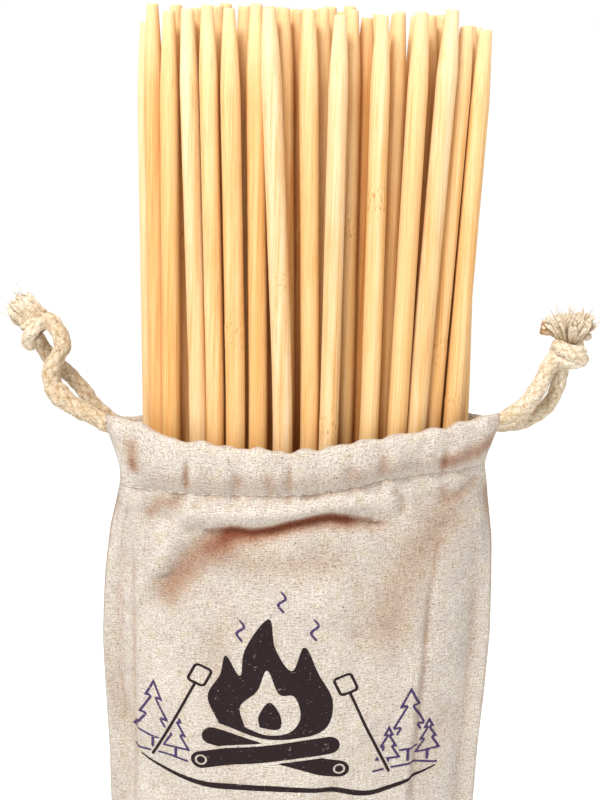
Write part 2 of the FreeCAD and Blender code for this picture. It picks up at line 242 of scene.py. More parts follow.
def linear(hex_code):
    parts = [int(hex_code[i:i + 2], 16) / 255 for i in (1, 3, 5)]
    return tuple(p / 12.92 if p <= 0.04045 else ((p + 0.055) / 1.055) ** 2.4 for p in parts)


def rgba(colour):
    """RGBA from a hex code or a linear RGB tuple; a socket passes through."""
    if isinstance(colour, str):
        colour = linear(colour)
    return (*colour, 1) if isinstance(colour, tuple) else colour


class Shader:
    """A material being built, with short names for its nodes."""

    def __init__(self, name):
        self.material = bpy.data.materials.new(name)
        self.material.use_nodes = True
        self.tree = self.material.node_tree
        self.tree.nodes.clear()
        output = self.node("OutputMaterial")
        self.bsdf = self.node("BsdfPrincipled")
        self.tree.links.new(self.bsdf.outputs[0], output.inputs[0])

    def plug(self, node, key, value):
        if isinstance(value, bpy.types.NodeSocket):
            self.tree.links.new(value, node.inputs[key])
        elif value is not None:
            node.inputs[key].default_value = value

    def node(self, kind, inputs=None, **settings):
        node = self.tree.nodes.new("ShaderNode" + kind)
        for name, value in settings.items():
            setattr(node, name, value)
        for key, value in (inputs or {}).items():
            self.plug(node, key, value)
        return node

    def surface(self, inputs):
        for key, value in inputs.items():
            self.plug(self.bsdf, key, value)
        return self.material

    def math(self, operation, a, b=None, c=None, clamp=False):
        return self.node("Math", {0: a, 1: b, 2: c}, operation=operation,
                         use_clamp=clamp).outputs[0]

    def plus(self, a, b):
        return self.math("ADD", a, b)

    def times(self, a, b):
        return self.math("MULTIPLY", a, b)

    def above(self, a, limit):
        return self.math("GREATER_THAN", a, limit)

    def below(self, a, limit):
        return self.math("LESS_THAN", a, limit)

    def mapping(self, vector, scale, shift=(0, 0, 0)):
        inputs = {"Vector": vector, "Scale": scale, "Location": shift}
        return self.node("Mapping", inputs).outputs[0]

    def noise(self, vector, scale=1.0, detail=2.0, rough=0.5, distort=0.0,
              stretch=None, shift=(0, 0, 0)):
        if stretch:
            vector = self.mapping(vector, stretch, shift)
        return self.node("TexNoise", {"Vector": vector, "Scale": scale, "Detail": detail,
                                      "Roughness": rough, "Distortion": distort}).outputs[0]

    def cells(self, vector, stretch):
        """Distance to the nearest of scattered points."""
        inputs = {"Vector": self.mapping(vector, stretch), "Scale": 1.0}
        return self.node("TexVoronoi", inputs, feature="F1").outputs["Distance"]

    def ramp(self, factor, *stops):
        node = self.node("ValToRGB", {0: factor})
        node.color_ramp.interpolation = "LINEAR"
        elements = node.color_ramp.elements
        while len(elements) < len(stops):
            elements.new(0.5)
        for element, (position, colour) in zip(elements, stops):
            element.position = position
            element.color = rgba(colour)
        return node.outputs[0]

    def mix(self, amount, a, b, mode="MIX"):
        return self.node("Mix", {0: amount, 6: rgba(a), 7: rgba(b)}, data_type="RGBA",
                         blend_type=mode).outputs[2]

    def multiply(self, a, b):
        return self.mix(1.0, a, b, "MULTIPLY")

    def stain(self, amount, colour, tint):
        """Part way from a colour to that colour multiplied by a tint."""
        return self.mix(amount, colour, self.multiply(colour, tint))

    def attribute(self, name):
        return self.node("Attribute", attribute_name=name).outputs["Fac"]

    def bump(self, height, strength, distance):
        """distance is in metres."""
        inputs = {"Strength": strength, "Distance": distance, "Height": height}
        return self.node("Bump", inputs).outputs[0]

    def place(self):
        return self.node("TexCoord").outputs["Object"]

    def place_mm(self):
        return self.mapping(self.place(), (1000, 1000, 1000))

    def split(self, vector):
        return self.node("SeparateXYZ", {0: vector}).outputs

    def join(self, x, y, z):
        return self.node("CombineXYZ", {0: x, 1: y, 2: z}).outputs[0]


WEAVE_PITCH = 0.42


def weave(g):
    """Cloth place in millimetres, plain-weave height, and slubs (uneven thread thickness)."""
    uv = g.split(g.node("UVMap", uv_map="cloth").outputs[0])
    across = g.times(uv[0], 1 / UV_PER_MM)
    along = g.times(uv[1], 1 / UV_PER_MM)
    cloth = g.join(across, along, 0.0)
    # the threads wander a little
    across = g.plus(across, g.times(g.noise(cloth, scale=0.35, detail=3.0), 0.5))
    along = g.plus(along, g.times(g.noise(cloth, scale=0.31, detail=3.0), 0.5))
    warp = g.math("SINE", g.times(across, math.pi / WEAVE_PITCH))
    weft = g.math("SINE", g.times(along, math.pi / WEAVE_PITCH))
    warp_height, weft_height = g.math("ABSOLUTE", warp), g.math("ABSOLUTE", weft)
    over = g.math("MULTIPLY_ADD", g.times(warp, weft), 0.5, 0.5, clamp=True)
    height = g.plus(g.times(warp_height, over),
                    g.times(weft_height, g.math("SUBTRACT", 1.0, over)))
    upright = g.noise(cloth, rough=0.6, stretch=(2.6, 0.30, 1))
    level = g.noise(cloth, rough=0.6, stretch=(0.30, 2.9, 1))
    return cloth, height, g.plus(g.times(upright, 0.37), g.times(level, 0.63))


def cloth_colour(g, cloth, height, slub):
    # broad light and dark, then drifts of yellow and pink
    colour = g.ramp(g.noise(cloth, scale=0.06, detail=4.0, rough=0.6),
                    (0.30, "#D1CECA"), (0.5, "#D7D4D1"), (0.70, "#DFDCD9"))
    hue = g.noise(cloth, detail=3.0, rough=0.6, stretch=(0.22, 0.22, 1), shift=(40, 11, 0))
    colour = g.stain(0.35, colour, g.ramp(hue, (0.35, "#F3E9C9"), (0.5, WHITE), (0.65, "#EBDDE0")))
    # threads, fine grain, and painted shade in the gaps of the weave
    threads = g.ramp(slub, (0.34, "#C2B3A0"), (0.47, "#EDE6DC"), (0.60, "#FFFDFA"))
    colour = g.stain(0.8, colour, threads)
    grain = g.noise(cloth, detail=3.0, rough=0.72, stretch=(1.35, 2.9, 1), shift=(2, 5, 0))
    colour = g.stain(0.85, colour, g.ramp(grain, (0.33, "#A39485"), (0.45, "#E3DCD3"),
                                          (0.53, WHITE), (0.66, (1.12, 1.12, 1.12))))
    colour = g.stain(0.55, colour, g.ramp(height, (0.12, "#B3A593"), (0.5, WHITE)))
    # seed flecks left in unbleached cotton
    spot = g.cells(cloth, stretch=(0.33, 0.30, 1))
    kept = g.noise(cloth, detail=0.0, stretch=(0.5, 0.5, 1), shift=(7, 3, 0))
    flecks = g.times(g.below(spot, 0.065), g.above(kept, 0.53))
    fine = g.above(g.noise(cloth, detail=1.0, stretch=(2.0, 1.5, 1), shift=(3, 9, 0)), 0.70)
    colour = g.mix(g.times(flecks, 0.85), colour, "#4C3B30")
    colour = g.mix(g.times(fine, 0.35), colour, "#8A7058")
    # painted warm shade in the folds and hollows, and a faint painted highlight on the lit band
    shade = g.ramp(g.attribute("fold"), (0.0, WHITE), (0.30, "#E9DAD0"), (0.65, "#CDA895"),
                   (1.0, "#9C5A3E"))
    colour = g.multiply(colour, shade)
    return g.mix(g.times(g.attribute("painted_highlight"), 0.03), colour, "#F2F1EC")


def cloth_material():
    g = Shader("bag_cotton_weave")
    cloth, height, slub = weave(g)
    colour = cloth_colour(g, cloth, height, slub)
    relief = g.plus(g.times(height, 0.5), g.times(slub, 1.3))
    return g.surface({
        "Base Color": colour, "Roughness": 0.93, "Specular IOR Level": 0.18,
        "Sheen Weight": 0.12, "Sheen Roughness": 0.6,
        "Normal": g.bump(relief, strength=0.75, distance=0.00028)})


def ink_material(name, hex_code, bare):
    """Printing ink; a higher bare leaves more of the cloth showing through."""
    ink = linear(hex_code)
    g = Shader(name)
    cloth, height, slub = weave(g)
    under = cloth_colour(g, cloth, height, slub)
    wear = g.noise(cloth, scale=0.9, detail=4.0, rough=0.65)
    missed = g.times(g.below(slub, 0.385 + bare), g.above(wear, 0.55))
    shade = g.ramp(g.math("MULTIPLY_ADD", slub, 0.8, g.times(wear, 0.3)),
                   (0.3, tuple(0.7 * c for c in ink)), (0.6, ink),
                   (0.85, tuple(1.9 * c + 0.006 for c in ink)))
    colour = g.mix(g.times(missed, 0.75), shade, under)
    relief = g.plus(g.times(height, 0.45), g.times(slub, 1.0))
    return g.surface({
        "Base Color": colour, "Roughness": 0.8, "Specular IOR Level": 0.25,
        "Normal": g.bump(relief, strength=0.4, distance=0.00018)})


def bamboo_material():
    g = Shader("bamboo_grain")
    place = g.place()
    tint, joint, cut_end, stick = [g.attribute(name)
                                   for name in ("tint", "joint", "endgrain", "stick_id")]
    # each stick is cut from another part of the grain
    shift = g.join(g.times(stick, 13.7), g.times(stick, 7.3), g.times(stick, 3.1))
    grain = g.node("VectorMath", {0: g.mapping(place, (1000, 1000, 1000)), 1: shift},
                   operation="ADD").outputs[0]
    colour = g.ramp(tint, (0.0, "#F2E3C2"), (0.25, "#F3DEB0"), (0.5, "#F2D5A0"),
                    (0.75, "#ECC386"), (1.0, "#DAA260"))
    broad = g.noise(grain, detail=3.0, rough=0.55, stretch=(0.55, 0.55, 0.010))
    streak = g.noise(grain, detail=3.0, rough=0.6, distort=0.15, stretch=(2.3, 2.3, 0.022))
    fibre = g.noise(grain, rough=0.6, stretch=(7.5, 7.5, 0.09))
    colour = g.multiply(colour, g.ramp(broad, (0.3, "#F3DFBE"), (0.5, "#FCF5EA"), (0.7, WHITE)))
    colour = g.stain(0.55, colour,
                     g.ramp(streak, (0.30, "#D8A866"), (0.44, "#F6E6CB"), (0.6, WHITE)))
    colour = g.stain(0.32, colour, g.ramp(fibre, (0.34, "#CF9F63"), (0.47, WHITE)))
    # blotches of warmer skin along a stick
    blotch = g.noise(grain, stretch=(0.16, 0.16, 0.035))
    blotch = g.times(g.math("SUBTRACT", blotch, 0.5, clamp=True), 1.5)
    colour = g.stain(blotch, colour, "#F6CB92")
    # painted shade low down, where the packed sticks shade each other, and painted light towards the
    # tips; heights are in metres
    height = g.split(place)[2]
    colour = g.multiply(colour, g.ramp(height, (0.0, (0.90, 0.81, 0.74)),
                                       (0.705, (0.885, 0.79, 0.72)), (0.760, (0.965, 0.915, 0.93))))
    # paler where the taper was cut: partly the cut cane's own colour, partly painted light on the
    # tips
    tapered = g.ramp(height, (0.744, BLACK), (0.764, (0.46, 0.46, 0.46)))
    colour = g.mix(tapered, colour, "#F6DDAE")
    # the joints of the cane: short dark flecks
    flecks = g.noise(grain, distort=0.4, stretch=(2.4, 2.4, 0.75))
    flecks = g.times(g.above(flecks, 0.60), joint)
    colour = g.mix(g.times(joint, 0.28), colour, "#E2B071")
    colour = g.mix(g.times(flecks, 0.62), colour, "#9A6028")
    # cut ends show the pores
    pores = g.below(g.cells(grain, stretch=(2.6, 2.6, 2.6)), 0.28)
    colour = g.mix(g.times(cut_end, 0.35), colour, "#C98F4C")
    colour = g.mix(g.times(g.times(cut_end, pores), 0.6), colour, "#7A4B1E")
    relief = g.plus(g.times(streak, 0.6), g.times(fibre, 0.5))
    return g.surface({
        "Base Color": colour, "Roughness": g.math("MULTIPLY_ADD", streak, 0.25, 0.40),
        "Specular IOR Level": 0.35,
        "Normal": g.bump(relief, strength=0.5, distance=0.00012)})


def cord_material():
    g = Shader("cord_cotton_braid")
    place = g.place_mm()
    groove = g.attribute("groove")
    broad = g.noise(place, scale=0.18)
    fibre = g.noise(place, scale=1.7, detail=4.0, rough=0.65, distort=0.6)
    colour = g.ramp(broad, (0.35, "#D8CAB3"), (0.6, "#E6DCCB"))
    colour = g.stain(0.8, colour,
                     g.ramp(fibre, (0.34, "#B59F84"), (0.48, "#EDE5D8"), (0.60, WHITE)))
    # painted shade: the groove value darkens the cord between its plies, at the roots of the
    # tassels' yarns and on the knots' hidden cores; it also darkens some yarn tips and the whole
    # left cord
    colour = g.multiply(colour, g.ramp(groove, (0.05, WHITE), (0.35, "#F1E9DE"),
                                       (0.7, "#D9C6B0"), (1.0, "#AD8B6D")))
    flecks = g.above(g.noise(place, detail=1.0, stretch=(1.3, 1.3, 1.3), shift=(5, 1, 8)), 0.66)
    colour = g.mix(g.times(flecks, 0.55), colour, "#8A7B69")
    return g.surface({
        "Base Color": colour, "Roughness": 0.95, "Specular IOR Level": 0.15,
        "Sheen Weight": 0.25,
        "Normal": g.bump(fibre, strength=0.7, distance=0.00035)})


def thread_material():
    g = Shader("sewing_thread")
    twist = g.noise(g.place_mm(), stretch=(5.0, 5.0, 3.0))
    return g.surface({
        "Base Color": g.ramp(twist, (0.35, "#CDC2B2"), (0.6, "#E4DBCE")), "Roughness": 0.85,
        "Normal": g.bump(twist, strength=0.5, distance=0.0001)})


def floor_material():
    g = Shader("pale_floor")
    mottle = g.noise(g.place(), scale=3.0, detail=3.0)
    return g.surface({
        "Base Color": g.ramp(mottle, (0.3, (0.94, 0.94, 0.94)), (0.7, (0.97, 0.97, 0.97))),
        "Emission Color": (1, 1, 1, 1), "Emission Strength": 0.36,
        "Roughness": 0.9, "Specular IOR Level": 0.1})


CLOTH = cloth_material()
INK_DARK = ink_material("print_ink_dark", "#1F1013", bare=0.0)
INK_PLUM = ink_material("print_ink_plum", "#433259", bare=0.03)
BAMBOO = bamboo_material()
CORD = cord_material()
THREAD = thread_material()

# ------------------------------------------------------------------ sticks
STICK_FOOT = 2.2               # height of every stick's lower end
STICK_SIDES = 22
BOW_HEIGHTS = (300, 450, 560, 620, 645, 670, 700, 730, 750, 770)
STRAIGHT = (0,) * len(BOW_HEIGHTS)

# Foot place, lean (sideways travel per height), length, diameter, tint 0 to 1 (None: drawn at
# random), height of a measured joint or None, then how far the slightly bowed cane lies off its
# straight axis in x and in y at each of BOW_HEIGHTS.
Stick = namedtuple("Stick", "foot_x foot_y lean_x lean_y length diameter tint joint bow_x bow_y",
                   defaults=(STRAIGHT, STRAIGHT))
STICKS = [Stick(*row) for row in (
    (-10.985, -10.902, -0.011365, -0.000969, 763.53, 5.0, 0.45, 686.0,
     (0, 0.29, 0.77, 1.02, 1.13, 0.87, -0.02, -0.91, -1.5, -2.1)),
    (-5.885, -9.266, -0.009834, -0.002823, 764.68, 4.9, 0.55, None,
     (-0.01, 0.2, 0.57, 0.76, 0.82, 0.59, -0.15, -0.89, -1.34, -1.69),
     (0.02, 0.04, 0.06, 0.09, 0.11, 0.13, 0.16, 0.18, 0.15, 0)),
    (-0.446, -11.708, -0.009769, -0.002170, 764.11, 5.1, 0.0, None,
     (0.01, 0.49, 1.24, 1.65, 1.83, 1.44, -0.22, -1.89, -3.04, -4.3),
     (-0.02, -0.04, -0.06, -0.09, -0.11, -0.13, -0.16, -0.18, -0.15, 0)),
    (3.150, -7.734, -0.004186, -0.005609, 763.91, 4.8, 0.4, None,
     (0, 0.36, 0.95, 1.26, 1.39, 1.13, 0.08, -0.97, -1.68, -2.38)),
    (4.967, -13.239, 0.001735, -0.000014, 762.84, 4.9, 0.08, 663.0,
     (0, 0.13, 0.33, 0.44, 0.49, 0.39, -0.01, -0.41, -0.68, -0.94)),
    (9.834, -11.012, 0.009627, -0.000414, 763.09, 4.9, 0.25, 720.6,
     (0, 0.24, 0.62, 0.83, 0.91, 0.73, 0.02, -0.69, -1.16, -1.64)),
    (-26.294, -4.498, -0.012647, -0.002496, 762.29, 4.8, 0.55, None,
     (0, 0.04, 0.09, 0.12, 0.14, 0.05, -0.19, -0.42, -0.58, -0.73),
     (-0.01, -0.02, -0.03, -0.04, -0.04, -0.04, -0.03, -0.02, -0.01, 0)),
    (-20.907, -8.068, -0.011518, -0.000639, 762.94, 4.8, 0.05, None,
     (0, 0.37, 0.99, 1.33, 1.45, 1.1, 0.04, -1.03, -1.73, -2.44),
     (0, 0, 0.01, 0.01, 0.01, 0.01, 0.01, 0, 0, 0)),
    (-15.647, -8.471, -0.012130, -0.002649, 764.06, 4.7, 0.35, None,
     (0, 0.28, 0.73, 0.98, 1.07, 0.79, -0.11, -1.0, -1.6, -2.19),
     (0, 0, -0.01, -0.01, -0.01, -0.01, -0.01, 0, 0, 0)),
    (-12.121, -4.527, -0.006266, -0.000669, 764.04, 5.0, 0.6, None,
     (0, 0.19, 0.49, 0.66, 0.72, 0.52, -0.04, -0.6, -0.97, -1.35)),
    (-1.782, -5.877, -0.006004, -0.003012, 764.05, 4.9, 0.6, None,
     (0, 0.32, 0.85, 1.13, 1.24, 0.96, 0.01, -0.94, -1.57, -2.21)),
    (6.067, -3.302, -0.005001, -0.004112, 764.21, 5.0, 0.5, None,
     (0, 0.17, 0.44, 0.6, 0.65, 0.49, -0.03, -0.54, -0.89, -1.24)),
    (11.095, -5.613, -0.001700, -0.001835, 764.10, 4.7, 0.45, None,
     (0, 0.2, 0.53, 0.71, 0.78, 0.61, 0.01, -0.58, -0.98, -1.38)),
    (16.287, -5.175, 0.006209, -0.000335, 763.88, 4.8, 0.5, None,
     (0, 0.15, 0.39, 0.52, 0.57, 0.44, 0, -0.44, -0.73, -1.03)),
    (15.262, -10.883, 0.013447, 0.001270, 764.13, 5.1, 0.35, None,
     (0, 0.03, 0.08, 0.11, 0.12, 0.1, 0.01, -0.08, -0.14, -0.2)),
    (20.391, -8.749, 0.014542, 0.000642, 764.96, 5.2, 0.12, None,
     (0, -0.2, -0.53, -0.71, -0.78, -0.62, -0.01, 0.6, 1.01, 1.42)),
    (23.007, -4.022, 0.016605, -0.000570, 761.15, 4.8, 0.4, 681.0,
     (0, -0.13, -0.34, -0.45, -0.49, -0.33, 0.2, 0.73, 1.08, 1.43)),
    (-27.451, 4.446, -0.019936, -0.003660, 759.19, 4.9, 0.15, None,
     (0, 0.04, 0.1, 0.14, 0.15, 0.07, -0.11, -0.29, -0.41, -0.52)),
    (-30.827, -1.802, -0.012145, -0.001813, 763.93, 4.9, 0.6, None,
     (0, 0.17, 0.46, 0.62, 0.68, 0.5, 0.05, -0.4, -0.7, -1.0),
     (0.01, 0.02, 0.03, 0.04, 0.04, 0.04, 0.03, 0.02, 0.01, 0)),
    (-23.903, 0.134, -0.012599, -0.000696, 763.77, 4.8, 0.5, 708.0,
     (-0.01, 0.29, 0.79, 1.06, 1.16, 0.8, -0.06, -0.92, -1.49, -2.06),
     (0.01, 0.02, 0.03, 0.04, 0.05, 0.04, 0.03, 0.02, 0.01, 0)),
    (-19.572, -2.925, -0.012445, -0.000468, 763.20, 5.0, 0.5, None,
     (0.01, 0.17, 0.43, 0.58, 0.64, 0.45, -0.05, -0.54, -0.88, -1.21),
     (-0.01, -0.02, -0.03, -0.04, -0.05, -0.04, -0.03, -0.02, -0.01, 0)),
    (-14.841, 0.082, -0.011596, -0.003627, 763.85, 4.9, 0.5, None,
     (0, 0.12, 0.31, 0.42, 0.46, 0.26, -0.24, -0.74, -1.07, -1.41)),
    (-7.051, -1.298, -0.002679, -0.002057, 763.82, 4.9, 0.55, None,
     (0, 0.09, 0.24, 0.33, 0.36, 0.26, -0.02, -0.29, -0.47, -0.66)),
    (-0.036, -0.732, -0.004134, -0.004038, 763.51, 5.0, 0.9, None,
     (0, 0.17, 0.46, 0.61, 0.67, 0.44, -0.25, -0.93, -1.39, -1.84)),
    (4.621, 1.750, -0.000957, -0.002329, 764.60, 4.7, None, None,
     (0, 0.16, 0.42, 0.56, 0.61, 0.47, 0.08, -0.31, -0.57, -0.83)),
    (9.656, 3.009, -0.000840, -0.004322, 764.89, 4.7, 0.55, None,
     (0, 0.11, 0.28, 0.37, 0.41, 0.27, -0.12, -0.51, -0.77, -1.03)),
    (13.520, -0.764, -0.000273, -0.003251, 762.17, 4.8, 0.85, None,
     (0, 0.15, 0.39, 0.53, 0.58, 0.42, -0.05, -0.52, -0.84, -1.15)),
    (16.198, 3.717, 0.004975, -0.003175, 763.32, 4.8, 0.6, None),
    (18.967, -0.709, 0.011796, -0.002258, 763.44, 4.8, 0.65, None),
    (24.047, 1.179, 0.009405, 0.001512, 763.46, 5.0, 0.6, None),
    (28.210, -3.269, 0.016462, 0.000132, 760.45, 4.9, 0.35, None,
     (0, -0.01, -0.02, -0.03, -0.03, 0.08, 0.4, 0.72, 0.93, 1.14),
     (-0.05, -0.12, -0.18, -0.25, -0.32, -0.39, -0.41, -0.33, -0.17, 0)),
    (33.031, 0.193, 0.012484, 0.002117, 761.09, 4.8, 0.5, None,
     (0, 0.13, 0.36, 0.49, 0.53, 0.01, -1.32, -2.66, -3.54, -4.38),
     (-0.05, -0.12, -0.18, -0.25, -0.32, -0.39, -0.5, -0.6, -0.45, 0)),
    (-23.153, 7.540, -0.014217, -0.001081, 762.05, 4.8, None, None),
    (-19.961, 3.492, -0.009653, 0.001765, 762.97, 4.7, None, None),
    (-14.933, 5.383, -0.009113, -0.003305, 764.49, 4.9, None, None,
     (0, 0.17, 0.44, 0.59, 0.64, 0.42, -0.1, -0.62, -0.96, -1.31)),
    (-9.069, 4.734, -0.004501, 0.001023, 763.18, 4.8, None, None),
    (-0.154, 4.694, -0.002930, -0.000239, 763.01, 5.0, None, None),
    (6.493, 7.539, -0.000044, 0.000130, 763.55, 4.7, None, None),
    (13.166, 8.089, 0.003181, -0.001217, 763.12, 5.0, None, None),
    (19.463, 7.732, 0.007312, -0.000744, 762.98, 4.7, None, None),
    (24.615, 6.577, 0.011844, 0.001005, 761.84, 5.0, None, None,
     (-0.02, -0.05, -0.07, -0.1, -0.11, -0.1, -0.07, -0.05, -0.02, 0),
     (0.02, 0.04, 0.07, 0.1, 0.11, 0.09, 0.07, 0.05, 0.02, 0)),
    (28.902, 3.356, 0.012327, 0.001904, 760.66, 4.8, 0.3, 745.0,
     (0.02, -0.07, -0.25, -0.33, -0.36, -0.08, 0.68, 1.45, 1.94, 2.4),
     (0.08, 0.19, 0.3, 0.41, 0.53, 0.68, 0.84, 0.89, 0.6, 0)),
    (-13.888, 10.651, -0.006148, -0.001071, 762.22, 5.0, None, None),
    (-3.697, 9.897, -0.003626, 0.002142, 763.60, 4.8, None, None),
)]


def stick_centre(stick, z):
    def bow(offsets):
        return soft(z, list(zip((0, *BOW_HEIGHTS), (0, *offsets))), 14.0)

    rise = z - STICK_FOOT
    return (stick.foot_x + stick.lean_x * rise + bow(stick.bow_x),
            stick.foot_y + stick.lean_y * rise + bow(stick.bow_y))


def stick_joints(stick, top, random):
    joints = [stick.joint] if stick.joint else []
    z = random.uniform(60, 300)
    while z < top - 30:
        if not stick.joint or abs(z - stick.joint) > 140:
            joints.append(z)
        z += random.uniform(230, 330)
    return joints


def stick_stations(top, joints):
    """Ring heights, closer together at the ends and round the joints."""
    foot = STICK_FOOT
    parts = [[foot, foot + 0.15, foot + 0.5], np.arange(8, 560, 9.0),
             np.arange(560, top - 24, 2.6), np.linspace(top - 23, top - 0.45, 24),
             [top - 0.2, top - 0.05, top]]
    parts += [np.arange(joint - 9, joint + 9, 1.5) for joint in joints]
    z = np.unique(np.round(np.concatenate(parts), 3))
    return z[(z >= foot) & (z <= top)]


def build_stick(number, stick):
    random = np.random.default_rng(99 + number)
    tint = stick.tint
    if tint is None:
        tint = float(np.clip(random.normal(0.55, 0.18), 0.2, 0.85))
    top = STICK_FOOT + stick.length / math.sqrt(1 + stick.lean_x ** 2 + stick.lean_y ** 2)
    joints = stick_joints(stick, top, random)
    z = stick_stations(top, joints)
    # radius: taper to the tip, rounded ends, slight waviness, a ridge and a dip at each joint
    full = stick.diameter / 2
    tip_radius = random.uniform(1.38, 1.66)
    taper = random.uniform(15.5, 21.0)
    t = np.clip((z - (top - taper)) / taper, 0, 1)
    radius = full + (tip_radius - full) * (t ** random.uniform(1.1, 1.5))
    radius = np.where(z > top - 0.5, radius - 0.22 * ((z - top + 0.5) / 0.5) ** 2, radius)
    radius = np.where(z < STICK_FOOT + 0.5, radius - 0.3 * (1 - (z - STICK_FOOT) / 0.5) ** 2,
                      radius)
    radius = radius + 0.035 * wave_noise(z, 299 + number, [60, 23])
    joint_mark = np.zeros(len(z))
    for joint in joints:
        radius = (radius + 0.05 * np.exp(-((z - joint) / 1.6) ** 2)
                  - 0.03 * np.exp(-((z - joint - 3) / 2.0) ** 2))
        mark = np.exp(-((z - joint) / random.uniform(3.2, 4.6)) ** 2)
        mark = mark * (1.0 if joint == stick.joint else random.uniform(0.4, 0.9))
        joint_mark = np.maximum(joint_mark, mark)
    angle = np.linspace(0, 2 * np.pi, STICK_SIDES, endpoint=False) + np.pi / 2
    facet = (1 + 0.010 * np.cos(3 * angle + random.uniform(0, 6))
             + 0.008 * np.cos(5 * angle + random.uniform(0, 6)))
    centre_x, centre_y = stick_centre(stick, z)
    rings = np.stack([centre_x[:, None] + radius[:, None] * np.cos(angle) * facet,
                      centre_y[:, None] + radius[:, None] * np.sin(angle) * facet,
                      np.broadcast_to(z[:, None], (len(z), STICK_SIDES))], -1)
    # the blunt tip is cut a little out of square
    slope = random.uniform(-0.12, 0.12, 2)
    tip = z > top - 0.6
    rings[tip, :, 2] += ((rings[tip, :, 0] - centre_x[tip, None]) * slope[0]
                         + (rings[tip, :, 1] - centre_y[tip, None]) * slope[1])
    verts = np.vstack([rings.reshape(-1, 3), [[centre_x[0], centre_y[0], STICK_FOOT]],
                       [[centre_x[-1], centre_y[-1], top]]])

    def per_vertex(values):
        return np.concatenate([np.repeat(values, STICK_SIDES), [values[0], values[-1]]])

    cut_end = np.zeros(len(z))
    cut_end[[0, -1]] = 1.0
    name = "stick_%02d" % number
    piece = make_mesh(name + "_bamboo", verts, capped_faces(len(z), STICK_SIDES), values={
        "tint": np.full(len(verts), tint), "joint": per_vertex(joint_mark),
        "endgrain": per_vertex(cut_end), "stick_id": np.full(len(verts), float(number))})
    # ends stay crisp
    smooth = np.full(len(piece.data.polygons), True)
    smooth[-2 * STICK_SIDES:] = False
    piece.data.polygons.foreach_set("use_smooth", smooth)
    dress(piece, BAMBOO, ride=name, replaces=name)


AXIS_HEIGHTS = np.linspace(0, 775, 300)
STICK_AXES = [stick_centre(stick, AXIS_HEIGHTS) for stick in STICKS]


def stick_reach(x, z, side):
    """How far the sticks come out to the front (side -1) or back (1) at each place, or 0."""
    out = np.zeros_like(x)
    for stick, (axis_x, axis_y) in zip(STICKS, STICK_AXES):
        radius = stick.diameter / 2 + 0.75
        away = np.abs(x - np.interp(z, AXIS_HEIGHTS, axis_x))
        surface = (side * np.interp(z, AXIS_HEIGHTS, axis_y)
                   + np.sqrt(np.maximum(radius * radius - away * away, 0)))
        out = np.where(away < radius, np.maximum(out, surface), out)
    return out


# ------------------------------------------------------------------ bag outline
# (height, half width) to each side, and (height, half depth)
LEFT_WIDTH = [
    (0, 41), (8, 42.2), (55, 44.2), (245, 46.8), (445, 49.2), (530, 50.0), (547, 50.4),
    (562, 50.9), (585, 52.4), (596, 53.0), (603, 52.9), (615, 52.5), (629, 51.1), (637, 49.3),
    (643, 47.8), (649, 47.3), (654, 48.4), (656, 49.6), (658, 50.4), (660, 50.6), (666, 50.4)]
RIGHT_WIDTH = [
    (0, 41), (8, 42.2), (55, 44.2), (245, 46.8), (445, 49.6), (530, 51.0), (551, 51.6),
    (569, 51.9), (584, 52.7), (602, 53.2), (616, 52.7), (629, 52.0), (638, 50.6), (644, 49.6),
    (649, 48.5), (653, 47.7), (656, 48.2), (659, 49.2), (662, 50.2), (664, 50.6), (670, 50.6)]
DEPTH = [(0, 17.4), (6, 18.3), (55, 19.2), (245, 19.5), (445, 19.3), (560, 19.2), (620, 19.4),
         (646, 19.6), (670, 19.6)]
# the mouth's hem follows a shallow arc in plan
ARC_RADIUS = 97.75
ARC_DEPTH = 20.0

# (x, height) of the hem's top edge and of the stitches at its foot
FRONT_RIM = [
    (-53.5, 659.6), (-52, 660.3), (-50, 660.8), (-46, 661.1), (-42.2, 661.2), (-39.5, 659.2),
    (-36, 658.0), (-32, 657.5), (-28, 657.8), (-24, 658.0), (-21, 657.4), (-19, 657.1),
    (-16.5, 657.6), (-13.8, 656.9), (-11, 657.5), (-8.2, 657.4), (-5, 656.8), (-1.6, 657.2),
    (1, 657.9), (3.9, 657.9), (6, 658.5), (8.5, 658.7), (12, 659.8), (15, 660.3), (18.8, 660.6),
    (21.3, 661.5), (26, 661.6), (30.6, 662.7), (36.9, 663.1), (40.3, 664.0), (43, 664.6),
    (47, 664.8), (50, 664.7), (52, 664.5), (54, 664.2)]
FRONT_STITCH = [
    (-49, 642.6), (-39, 643.1), (-29, 643.5), (-13, 644.8), (0, 645.5), (13.4, 647.8),
    (21.6, 650.0), (30.3, 650.9), (38.3, 651.2), (47.4, 652.0), (50, 652.0)]
BACK_RIM = [
    (-53, 656.6), (-50, 656.9), (-46, 657.0), (-40, 657.8), (-34, 658.8), (-26, 659.0),
    (-16, 660.0), (-8, 659.4), (0, 660.4), (10, 660.0), (20, 661.4), (28, 661.0), (36, 661.6),
    (43, 661.0), (48, 660.8), (53, 660.6)]
BACK_STITCH = [(-50, 640.6), (-36, 642.6), (-20, 643.6), (0, 644.8), (20, 646.4), (36, 647.4),
               (50, 648.4)]
